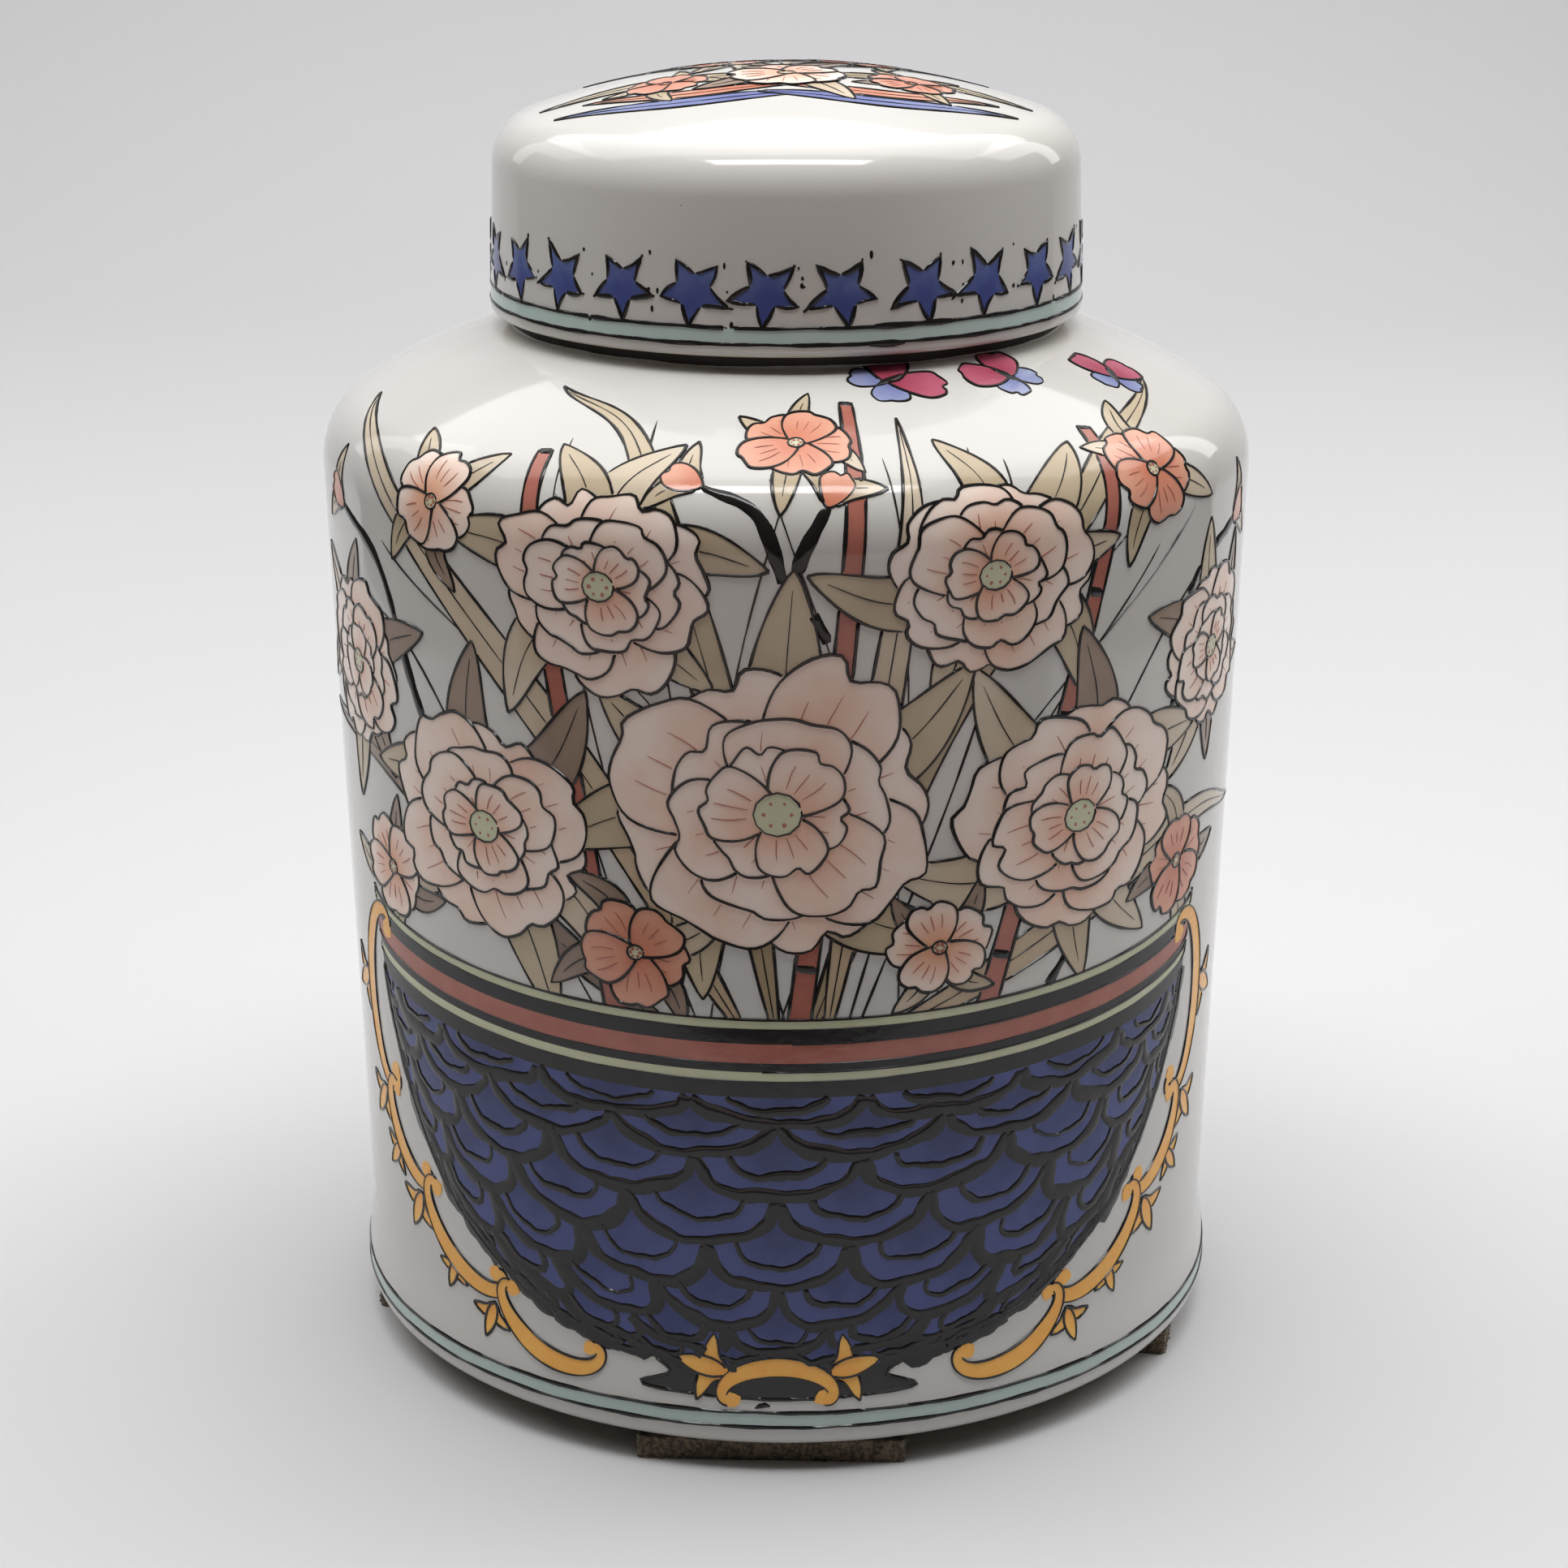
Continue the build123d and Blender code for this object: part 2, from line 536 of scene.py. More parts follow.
def slice_mesh(bm: bmesh.types.BMesh, axis: int, places: Iterable[float]) -> None:
    """Cut a mesh through, square to an axis, at each of some places along it.

    Args:
        bm: The mesh.
        axis: The number of the axis.
        places: Where it is cut.
    """
    side = np.eye(3)[axis]
    for place in places:
        everything = [*bm.verts, *bm.edges, *bm.faces]
        bmesh.ops.bisect_plane(bm, geom=everything, dist=1e-4, plane_co=place * side, plane_no=side)


def finish_piece(bm: bmesh.types.BMesh, name: str, material: bpy.types.Material, body: str,
                 crease: float = 35.0) -> bpy.types.Object:
    """Turn a bmesh into a piece that rides on a body.

    Args:
        bm: The mesh, in metres. It is freed.
        name: The piece's name.
        material: Its finish.
        body: The body that it moves with.
        crease: The angle in degrees from which an edge stays sharp.

    Returns:
        The piece.
    """
    mesh = bpy.data.meshes.new(name)
    bm.to_mesh(mesh)
    bm.free()
    mesh.materials.append(material)
    mesh.shade_smooth()
    mesh.set_sharp_from_angle(angle=math.radians(crease))
    piece = bpy.data.objects.new(name, mesh)
    bpy.context.scene.collection.objects.link(piece)
    if body:
        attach(piece, body)
    LOG.info("%s: %d faces on %s", name, len(mesh.polygons), body or "stage")
    return piece


def turn_piece(section: np.ndarray, steps: int = 256) -> bmesh.types.BMesh:
    """Spin a half-section round the axis.

    Args:
        section: Rows of radius and height in millimetres.
        steps: The number of facets around.

    Returns:
        The closed mesh in metres.
    """
    bm = bmesh.new()
    chain = [bm.verts.new((r * MM, 0, z * MM)) for r, z in section]
    links = [bm.edges.new(pair) for pair in zip(chain, chain[1:])]
    bmesh.ops.spin(bm, geom=chain + links, cent=(0, 0, 0), axis=(0, 0, 1), angle=TURN, steps=steps,
                   use_merge=True)
    bmesh.ops.remove_doubles(bm, verts=bm.verts, dist=1e-6)
    bmesh.ops.recalc_face_normals(bm, faces=bm.faces)
    return bm


class Ground:
    """The outside of a turned piece, as a painter's ground with a drawing laid round it.

    Across runs round the axis, measured at the girth, and up runs along the outline.
    """

    def __init__(self, outline: np.ndarray, girth: float, facing: float, mark: Point) -> None:
        """Measure the outline.

        Args:
            outline: Rows of radius and height, from the bottom up.
            girth: The radius at which across is true.
            facing: The bearing in degrees of the middle of the drawing.
            mark: A height on the outline, and the distance up that it is called.
        """
        self.girth = girth
        self.facing = math.radians(facing)
        self.outline = outline
        self.up = run_along(outline)
        self.up += mark[1] - np.interp(mark[0], outline[:, 1], self.up)
        along = np.gradient(outline, self.up, axis=0)
        self.normals = np.c_[along[:, 1], -along[:, 0]] / np.hypot(*along.T)[:, None]

    def section_at(self, up: np.ndarray, lift: np.ndarray) -> np.ndarray:
        """Give radius and height at a place along the outline, lifted off it."""
        look = [np.interp(up, self.up, column) for column in (*self.outline.T, *self.normals.T)]
        return np.c_[look[0] + lift * look[2], look[1] + lift * look[3]]

    def squeeze(self, flat: np.ndarray) -> np.ndarray:
        """Give how much wider than true the drawing has to be at each place."""
        return self.girth / self.section_at(flat[:, 1], np.zeros(len(flat)))[:, 0]

    def wrap(self, flat: np.ndarray) -> np.ndarray:
        """Lay rows of across, up and lift round the piece.

        Args:
            flat: The rows in millimetres.

        Returns:
            Rows of x, y and z in metres.
        """
        radius, height = self.section_at(flat[:, 1], flat[:, 2]).T
        bearing = self.facing + flat[:, 0] / self.girth
        return np.c_[radius * np.cos(bearing), radius * np.sin(bearing), height] * MM


class Crown(Ground):
    """The domed top of a turned piece, with the drawing laid out from its middle."""

    def __init__(self, outline: np.ndarray) -> None:
        """Measure the outline, from the middle of the dome outwards.

        Args:
            outline: Rows of radius and height, from the middle outwards.
        """
        super().__init__(outline, 1.0, 0.0, (outline[0, 1], 0.0))
        self.up = run_along(outline)
        self.normals = -self.normals

    def squeeze(self, flat: np.ndarray) -> np.ndarray:
        """The drawing is true all over the crown."""
        return np.ones(len(flat))

    def wrap(self, flat: np.ndarray) -> np.ndarray:
        """Lay rows of across, up and lift over the dome.

        Args:
            flat: The rows in millimetres.

        Returns:
            Rows of x, y and z in metres.
        """
        reach = np.hypot(flat[:, 0], flat[:, 1]) + 1e-9
        radius, height = self.section_at(reach, flat[:, 2]).T
        return np.c_[flat[:, :2] * (radius / reach)[:, None], height] * MM


class Hand:
    """A painter's hand: smooth curves with a seeded tremble of three waves, as (length, height)."""

    WAVES = ((31.0, 0.8), (13.0, 0.5), (5.5, 0.25))

    def __init__(self, seed: int) -> None:
        """Seed the tremble."""
        self.chance = np.random.default_rng(seed)

    def curve(self, points: Iterable[Point], closed: bool = False, step: float = 1.3) -> np.ndarray:
        """Draw a smooth curve through points.

        Args:
            points: The points.
            closed: Whether the curve comes back to its start.
            step: The distance between the points of the result.

        Returns:
            Rows of across and up.
        """
        knots = np.array(list(points), float)
        if closed:
            knots = np.vstack((knots[-1], knots, knots[:2]))
        else:
            knots = np.vstack((2 * knots[0] - knots[1], knots, 2 * knots[-1] - knots[-2]))
        t = np.linspace(0, 1, 12, endpoint=False)[:, None]
        runs = []
        for a, b, c, d in zip(knots, knots[1:], knots[2:], knots[3:]):
            bend = 2 * b + (c - a) * t + (2 * a - 5 * b + 4 * c - d) * t**2 + (3 * b - a - 3 * c + d) * t**3
            runs.append(bend / 2)
        if not closed:
            runs.append(knots[-2:-1])
        return self.spaced(np.vstack(runs), step, closed)

    def spaced(self, path: np.ndarray, step: float, closed: bool = False) -> np.ndarray:
        """Space a path's points evenly.

        Args:
            path: Rows of across and up.
            step: The distance between points.
            closed: Whether the path comes back to its start.

        Returns:
            The new rows.
        """
        whole = np.vstack((path, path[:1])) if closed else path
        run = run_along(whole)
        count = max(3, round(run[-1] / step)) + 1
        at = np.linspace(0, run[-1], count)[: -1 if closed else None]
        return np.c_[np.interp(at, run, whole[:, 0]), np.interp(at, run, whole[:, 1])]

    def tremble(self, count: int, length: float, reach: float) -> np.ndarray:
        """Give a smooth random wave along a path.

        Args:
            count: The number of points on the path.
            length: The path's length.
            reach: The wave's usual height.

        Returns:
            One value for each point.
        """
        at = np.linspace(0, length, count)
        return reach * sum(
            height * np.sin(TURN * (at / wave + self.chance.random())) for wave, height in self.WAVES
        )

    def near(self, value: float, spread: float) -> float:
        """Give a value that is off by at most a share of itself."""
        return value * (1 + spread * (2 * self.chance.random() - 1))

    def off(self, reach: float) -> float:
        """Give a random shift to either side."""
        return reach * (2 * self.chance.random() - 1)


def inside(points: np.ndarray, outline: np.ndarray) -> np.ndarray:
    """Say which points are inside an outline.

    Args:
        points: Rows of across and up.
        outline: The outline's rows.

    Returns:
        True for each point that is inside.
    """
    x, y = points[:, :1], points[:, 1:]
    x0, y0 = outline.T
    x1, y1 = np.roll(outline, -1, axis=0).T
    level = np.where(y1 == y0, 1e-9, y1 - y0)
    crossed = ((y0 > y) != (y1 > y)) & (x < (x1 - x0) * (y - y0) / level + x0)
    return crossed.sum(axis=1) % 2 == 1


Box = tuple[float, float, float, float]


def box_of(points: np.ndarray) -> Box:
    """Give the least across and up of a drawing, and the greatest."""
    return (*points.min(0).tolist(), *points.max(0).tolist())


def apart(first: Box, second: Box) -> bool:
    """Say whether two drawings' boxes are clear of each other."""
    beside = first[0] > second[2] or second[0] > first[2]
    return beside or first[1] > second[3] or second[1] > first[3]


@dataclass
class Patch:
    """A patch of enamel: its outline, its ink, its level above the glaze, and the root of its wash."""

    outline: np.ndarray
    ink: Ink
    level: int
    root: Point
    reach: float
    box: Box


@dataclass
class Line:
    """A drawn line: its path, half its width at each point, its ink and the level that it lies on."""

    path: np.ndarray
    half: np.ndarray
    ink: Ink
    level: int
    box: Box
    halvings: int = 6

    def cut(self, outline: np.ndarray, box: Box) -> list["Line"]:
        """Give the runs of this line that an outline, with its box, doesn't cover.

        Args:
            outline: The outline of what covers the line.
            box: The outline's box.

        Returns:
            What is left of the line.
        """
        if apart(self.box, box):
            return [self]
        hidden = inside(self.path, outline)
        if not hidden.any():
            return [self]
        rows = np.c_[self.path, self.half]
        runs, run = [], []
        for i, row in enumerate(rows):
            if i and hidden[i] != hidden[i - 1]:
                seen, unseen = (rows[i - 1], row) if hidden[i] else (row, rows[i - 1])
                for _ in range(self.halvings):
                    middle = (seen + unseen) / 2
                    if inside(middle[None, :2], outline)[0]:
                        unseen = middle
                    else:
                        seen = middle
                run.append(seen)
                if hidden[i]:
                    runs.append(run)
                    run = []
            if not hidden[i]:
                run.append(row)
        runs.append(run)
        whole = [np.array(r) for r in runs if len(r) > 1]
        return [Line(r[:, :2], r[:, 2], self.ink, self.level, box_of(r[:, :2])) for r in whole]


class Canvas:
    """A painting on a ground, built up as a painter does: what comes later covers what was there.

    A patch lies FIRST_LIFT above the glaze, and LEVEL_LIFT higher for each patch under it. Its sides go
    down to SUNK. A line is a bead that rises at most BEAD above its patch, with an UNEVEN width that eases
    in over EASING. Patches are cut into cells, finer below FLARED and above CURVED, where the jar bends.
    """

    FIRST_LIFT = 0.05
    LEVEL_LIFT = 0.01
    SUNK = -0.05
    BEAD = 0.2
    UNEVEN = 0.22
    EASING = 4.0
    CELL = 2.0
    FLARED = 36.0
    CURVED = 192.0
    CREASE = 50.0
    EVEN_WASH = 0.5
    LINE_WASH = 0.4

    def __init__(self, ground: Ground, hand: Hand, name: str, body: str) -> None:
        """Start a bare canvas.

        Args:
            ground: The surface.
            hand: The painter's hand.
            name: What the pieces' names start with.
            body: The body that the pieces ride on.
        """
        self.ground = ground
        self.hand = hand
        self.name = name
        self.body = body
        self.patches: list[Patch] = []
        self.lines: list[Line] = []

    def fill(self, outline: np.ndarray, ink: Ink, root: Point | None = None, reach: float = 1.0) -> int:
        """Lay a patch of enamel over what is there.

        Args:
            outline: The patch's outline.
            ink: Its colour.
            root: Where its wash starts. Without one the wash is even.
            reach: How far from the root the wash ends.

        Returns:
            The level that the patch lies on.
        """
        x, y = outline.T
        if (x * np.roll(y, -1) - np.roll(x, -1) * y).sum() < 0:
            outline = outline[::-1]
        level = 1
        box = box_of(outline)
        edge = self.hand.spaced(outline, self.CELL / 2, closed=True)
        for other in self.patches:
            if other.level >= level and not apart(box, other.box):
                if inside(edge, other.outline).any() or inside(other.outline, outline).any():
                    level = other.level + 1
        self.lines = [run for line in self.lines for run in line.cut(outline, box)]
        if root is None:
            root, reach = (0.0, 0.0), 0.0
        self.patches.append(Patch(outline, ink, level, root, reach, box))
        return level

    def line(self, path: np.ndarray, width: float, ink: Ink = Ink.LINE, level: int | None = None,
             taper: Point = (0.35, 0.35), closed: bool = False) -> None:
        """Draw a line by hand.

        Args:
            path: The line's points.
            width: Its usual width.
            ink: Its colour.
            level: The level that it lies on, or that of the highest patch under it.
            taper: The share of its width that it keeps at its first and last point.
            closed: Whether it comes back to its start.
        """
        if closed:
            path = np.vstack((path, path[:2]))
            taper = (1.0, 1.0)
        run = run_along(path)
        half = width / 2 * (1 + self.hand.tremble(len(path), run[-1], self.UNEVEN))
        easing = min(self.EASING, run[-1] / 3)
        half *= taper[0] + (1 - taper[0]) * np.clip(run / easing, 0, 1)
        half *= taper[1] + (1 - taper[1]) * np.clip((run[-1] - run) / easing, 0, 1)
        box = box_of(path)
        if level is None:
            near = [p for p in self.patches if not apart(box, p.box)]
            level = max((p.level for p in near if inside(path, p.outline).any()), default=0)
        self.lines.append(Line(path, half, ink, level, box))

    def shape(self, outline: np.ndarray, ink: Ink, width: float, root: Point | None = None,
              reach: float = 1.0) -> int:
        """Lay a patch with a drawn line round it.

        Args:
            outline: The patch's outline.
            ink: The patch's colour.
            width: The line's usual width.
            root: Where its wash starts.
            reach: How far from the root the wash ends.

        Returns:
            The level that the patch lies on.
        """
        level = self.fill(outline, ink, root, reach)
        self.line(outline, width, level=level, closed=True)
        return level

    def dot(self, middle: Point, size: float, ink: Ink = Ink.LINE, stretch: float = 1.0) -> None:
        """Put down a dot of enamel, a little out of round.

        Args:
            middle: Its middle.
            size: Its usual width.
            ink: Its colour.
            stretch: How many times as high as wide it is.
        """
        turns = np.linspace(0, TURN, 9)[:-1] + self.hand.off(0.4)
        reach = np.array([self.hand.near(size / 2, 0.18) for _ in turns])
        ring = np.c_[np.cos(turns) * reach, np.sin(turns) * reach * stretch]
        self.fill(ring + middle, ink)

    def build(self, front: float | None = None) -> list[bpy.types.Object]:
        """Make the pieces, one for each ink's patches and one for each ink's lines.

        Args:
            front: Where lines are split into front and back pieces, as a distance across.

        Returns:
            The pieces.
        """
        made = []
        for ink in Ink:
            patches = [p for p in self.patches if p.ink is ink]
            if patches:
                made.append(self._finish(self._lay(patches), ink, "patches"))
            lines = [one for one in self.lines if one.ink is ink]
            if front is None:
                sides = {"lines": lines}
            else:
                ahead = [one for one in lines if abs(one.path[:, 0].mean()) <= front]
                behind = [one for one in lines if abs(one.path[:, 0].mean()) > front]
                sides = {"front_lines": ahead, "back_lines": behind}
            for word, some in sides.items():
                if some:
                    made.append(self._finish(self._bead(some), ink, word))
        return made

    def _finish(self, bm: bmesh.types.BMesh, ink: Ink, word: str) -> bpy.types.Object:
        """Wrap a flat mesh onto the ground and make it a piece.

        Args:
            bm: The flat mesh. It is freed.
            ink: Its colour.
            word: What the piece's name ends with.

        Returns:
            The piece.
        """
        bm.verts.ensure_lookup_table()
        placed = self.ground.wrap(np.array([v.co for v in bm.verts]))
        for vert, place in zip(bm.verts, placed):
            vert.co = place
        name = f"{self.name}_{ink.value.name}_{word}"
        material = bpy.data.materials.get("enamel_" + ink.value.name) or ink.value.material()
        return finish_piece(bm, name, material, self.body, self.CREASE)

    def _lay(self, patches: list[Patch]) -> bmesh.types.BMesh:
        """Lay patches as thin slabs whose sides go down into the glaze.

        Args:
            patches: The patches, all of one ink.

        Returns:
            The flat mesh.
        """
        bm = bmesh.new()
        for patch in patches:
            slab = self._slab(patch)
            spare = bpy.data.meshes.new("slab")
            slab.to_mesh(spare)
            slab.free()
            bm.from_mesh(spare)
            bpy.data.meshes.remove(spare)
        return bm

    def _slab(self, patch: Patch) -> bmesh.types.BMesh:
        """Lay one patch in a mesh of its own.

        Args:
            patch: The patch.

        Returns:
            The flat mesh.
        """
        bm = bmesh.new()
        wash = bm.verts.layers.float.new("wash")
        lift = self.FIRST_LIFT + self.LEVEL_LIFT * patch.level
        face = bm.faces.new([bm.verts.new((x, y, lift)) for x, y in patch.outline])
        face.normal_update()
        bmesh.ops.triangulate(bm, faces=[face])
        for axis, cell in ((0, self.CELL), (1, 2 * self.CELL)):
            least, most = patch.box[axis], patch.box[axis + 2]
            cuts = np.arange(math.ceil(least / cell), math.floor(most / cell) + 1) * cell
            if axis and least < self.FLARED:
                fine = np.arange(math.ceil(least), min(most, self.FLARED), self.CELL / 2)
                cuts = np.r_[fine, cuts[cuts >= self.FLARED]]
            if axis and most > self.CURVED:
                cuts = np.r_[cuts[cuts < self.CURVED], np.arange(self.CURVED, most, self.CELL / 2)]
            slice_mesh(bm, axis, cuts[cuts > least])
        for vert in bm.verts:
            far = math.dist(vert.co.xy, patch.root)
            vert[wash] = min(1.0, far / patch.reach) if patch.reach else self.EVEN_WASH
        rim = [e for e in bm.edges if e.is_boundary]
        for vert in verts_in(bmesh.ops.extrude_edge_only(bm, edges=rim)["geom"]):
            vert.co.z = self.SUNK
        bmesh.ops.recalc_face_normals(bm, faces=bm.faces)
        bmesh.ops.reverse_faces(bm, faces=[f for f in bm.faces if f.normal.z < -0.5])
        return bm

    def _bead(self, lines: list[Line]) -> bmesh.types.BMesh:
        """Draw lines as raised beads: a chain of points that is extruded sideways three times.

        Args:
            lines: The lines, all of one ink.

        Returns:
            The flat mesh.
        """
        bm = bmesh.new()
        wash = bm.verts.layers.float.new("wash")
        row = bm.verts.layers.int.new("row")
        path = np.vstack([one.path for one in lines])
        half = np.concatenate([one.half for one in lines])
        lift = np.concatenate([np.full(len(one.half), one.level) for one in lines])
        lift = self.FIRST_LIFT + self.LEVEL_LIFT * lift + np.minimum(self.BEAD, 0.5 * half)
        side = np.vstack([np.gradient(one.path, axis=0) for one in lines])
        side = np.c_[-side[:, 1], side[:, 0]] / np.maximum(np.hypot(*side.T), 1e-9)[:, None]
        side[:, 0] *= self.ground.squeeze(path)
        ends = np.cumsum([len(one.half) for one in lines])
        for stop in np.concatenate((ends - 1, ends - [len(one.half) for one in lines])):
            lift[stop] = self.SUNK / 2
        columns = []
        for share, raised in ((-1.0, False), (-0.5, True), (0.5, True), (1.0, False)):
            high = lift if raised else np.full(len(lift), self.SUNK)
            columns.append(np.c_[path + side * (share * half)[:, None], high])
        verts = [bm.verts.new(place) for place in columns[0]]
        for index, vert in enumerate(verts):
            vert[row] = index
            vert[wash] = self.LINE_WASH
        breaks = set((ends - 1).tolist())
        chain = [bm.edges.new((verts[i], verts[i + 1])) for i in range(len(verts) - 1) if i not in breaks]
        for column in columns[1:]:
            geom = bmesh.ops.extrude_edge_only(bm, edges=chain)["geom"]
            fresh = set(verts_in(geom))
            for vert in fresh:
                vert.co = column[vert[row]]
            chain = [g for g in geom if isinstance(g, bmesh.types.BMEdge) and set(g.verts) <= fresh]
        bm.normal_update()
        if sum(f.normal.z for f in bm.faces) < 0:
            bmesh.ops.reverse_faces(bm, faces=bm.faces)
        return bm


def ribbon(spine: np.ndarray, half: np.ndarray) -> np.ndarray:
    """Give the outline of a band along a spine.

    Args:
        spine: Rows of across and up.
        half: Half the band's width at each row.

    Returns:
        The outline's rows.
    """
    along = np.gradient(spine, axis=0)
    side = np.c_[-along[:, 1], along[:, 0]] / np.hypot(*along.T)[:, None] * half[:, None]
    return np.vstack((spine + side, (spine - side)[::-1]))


class Brush:
    """Paints motifs on a canvas, around a middle of its own.

    A petal is drawn as shares of its length and width, and gets veins from a length of VEINED on. Each ring
    of a flower is its count of petals, and their length and width as shares of the flower's radius.
    """

    PETAL = ((0.0, 0.12), (0.35, 0.42), (0.7, 0.52), (0.92, 0.38), (1.0, 0.16), (0.94, 0.0))
    PEONY = ((8, 1.0, 0.85), (6, 0.72, 0.7), (6, 0.45, 0.45))
    BLOSSOM = ((5, 1.0, 1.0),)
    VEINED = 9.0
    VEINS = (-0.2, 0.02, 0.22)
    PETAL_LINES = (0.65, 0.85)
    VEIN_LINE = 0.35
    LEAF_LINE = 0.75
    RIB_LINE = 0.4
    LEAVES = (Ink.TAN, Ink.KHAKI, Ink.BROWN)
    SCROLL_BEND = 0.9
    SCROLL_CURL = 3.6
    SCROLL_STEPS = 81
    CURL_STEPS = 15

    def __init__(self, canvas: Canvas, across: float = 0.0, side: int = 1) -> None:
        """Choose the canvas, the middle's place and the way round that the motifs are painted.

        Args:
            canvas: The canvas.
            across: The middle's place.
            side: 1 for motifs as they are, or -1 for mirrored ones.
        """
        self.canvas = canvas
        self.hand = canvas.hand
        self.across = across
        self.side = side

    def at(self, points: Iterable[Point]) -> np.ndarray:
        """Turn a motif's own points into places on the canvas."""
        return np.array(list(points), float) * (self.side, 1) + (self.across, 0)

    def about(self, middle: Point, offsets: np.ndarray) -> np.ndarray:
        """Place offsets around a point so that they are true in width on the piece."""
        heart = self.at((middle,))
        return heart + offsets * np.c_[self.canvas.ground.squeeze(heart), 1.0]

    def petal(self, middle: Point, turn: float, size: Point, ink: Ink, squash: float = 1.0,
              vein: Ink | None = Ink.BRICK) -> None:
        """Paint one petal that grows out of a point.

        Args:
            middle: The point.
            turn: The petal's direction in radians.
            size: Its length and width.
            ink: Its colour, deep at the root.
            squash: How much the flower is seen from the side.
            vein: The colour of its veins, if it has any.
        """
        length = size[0]
        way = turning(turn)

        def turned(points: Iterable[Point]) -> np.ndarray:
            """Place points along and across the petal."""
            return self.about(middle, np.array(list(points)) * size @ way * (1, squash))

        knots = [*self.PETAL, *((u, -v) for u, v in self.PETAL[-2::-1])]
        rough = [(self.hand.near(u, 0.05), v + self.hand.off(0.03)) for u, v in knots]
        outline = self.hand.curve(turned(rough), closed=True, step=max(0.8, length / 18))
        root = tuple(turned(((0.0, 0.0),))[0])
        large = length > self.VEINED
        level = self.canvas.shape(outline, ink, self.PETAL_LINES[large], root, 1.2 * length)
        if vein and large:
            for v in self.VEINS:
                run = turned(((0.3, 0.5 * v), (0.6, v), (self.hand.near(0.82, 0.1), 1.1 * v)))
                self.canvas.line(self.hand.curve(run), self.VEIN_LINE, vein, level)

    def flower(self, middle: Point, size: float, ink: Ink, rings: Sequence[tuple] = PEONY,
               squash: float = 0.9) -> None:
        """Paint a flower, ring by ring, and in each ring every other petal first.

        Args:
            middle: Its middle.
            size: Its radius.
            ink: Its petals' colour.
            rings: The count of petals in each ring, and their length and width as shares of the radius.
            squash: How much it is seen from the side.
        """
        for count, reach, wide in rings:
            start = self.hand.off(0.5)
            for n in (*range(0, count, 2), *range(1, count, 2)):
                turn = start + n * TURN / count + self.hand.off(0.1)
                petal = (size * self.hand.near(reach, 0.1), size * self.hand.near(wide, 0.1))
                self.petal(middle, turn, petal, ink, squash)
        turns = np.linspace(0, TURN, 13)[:-1]
        ring = np.c_[np.cos(turns), np.sin(turns) * squash]
        self.canvas.shape(self.about(middle, 0.15 * size * ring), Ink.YELLOW, 0.6)
        for place in self.about(middle, 0.085 * size * ring[::2]):
            self.canvas.dot(tuple(place), self.hand.near(0.8, 0.3), Ink.BRICK)

    def leaf(self, points: Iterable[Point], width: float, ink: Ink, rib: bool = True) -> None:
        """Paint a leaf along a path.

        Args:
            points: The path, from the stalk to the tip.
            width: The leaf's greatest width.
            ink: Its colour.
            rib: Whether a middle rib is drawn.
        """
        spine = self.hand.curve(self.at(points), step=1.5)
        share = np.linspace(0, 1, len(spine))
        half = width / 2 * np.sin(math.pi * share**0.85) ** 0.75 + 0.05
        length = np.hypot(*np.diff(spine, axis=0).T).sum()
        level = self.canvas.shape(ribbon(spine, half), ink, self.LEAF_LINE, tuple(spine[0]), length)
        if rib:
            self.canvas.line(spine[1:-2], self.RIB_LINE, level=level)

    def foliage(self, middle: Point, reach: float, count: int) -> None:
        """Paint leaves that stick out from behind a flower.

        Args:
            middle: The flower's middle.
            reach: How far the leaves reach.
            count: The number of leaves.
        """
        start = self.hand.off(3.0)
        for n in range(count):
            turn = start + n * TURN / count + self.hand.off(0.3)
            bend = turn + self.hand.off(0.35)
            far = self.hand.near(reach, 0.14)
            path = polar(middle, ((0.0, turn), (0.55 * far, bend), (far, turn)))
            ink = self.LEAVES[self.hand.chance.integers(len(self.LEAVES))]
            self.leaf(path, 0.3 * far, ink)

    def cane(self, points: Iterable[Point], width: float) -> None:
        """Paint a brick-red cane with black joints along a path.

        Args:
            points: The path, from the root up.
            width: The cane's usual width.
        """
        spine = self.hand.curve(self.at(points), step=2.0)
        half = width / 2 * np.linspace(1.1, 0.8, len(spine))
        outline = ribbon(spine, half)
        level = self.canvas.shape(outline, Ink.BRICK, 0.9)
        for n in (*range(8, len(spine) - 8, 13), len(spine) - 1):
            joint = np.array((outline[n], outline[-1 - n]))
            self.canvas.line(self.hand.spaced(joint, 1.0), 2.0, level=level, taper=(1, 1))

    def scroll(self, start: Point, end: Point, width: float, curl: int) -> None:
        """Paint a gold scroll with both ends curled in.

        Args:
            start: Where its first curl begins.
            end: Where its last curl begins.
            width: Its greatest width.
            curl: 1 to bend to the left on the way, -1 to bend to the right.
        """
        share = np.linspace(-1, 1, self.SCROLL_STEPS)
        heading = curl * (self.SCROLL_BEND * share + self.SCROLL_CURL * np.sign(share) * share**6)
        run = np.cumsum(np.exp(1j * heading))
        first, last = run[self.CURL_STEPS], run[-1 - self.CURL_STEPS]
        ends = [complex(*place) for place in self.at((start, end))]
        if self.side < 0:
            run, first, last = run.conj(), first.conjugate(), last.conjugate()
        run = ends[0] + (run - first) * (ends[1] - ends[0]) / (last - first)
        spine = np.c_[run.real, run.imag]
        half = width / 2 * (0.28 + 0.72 * (1 - share**2))
        self.canvas.shape(ribbon(spine, half), Ink.GOLD, 0.6)
        for eye in (spine[0], spine[-1]):
            self.canvas.dot(tuple(eye), width * 0.8, Ink.GOLD)

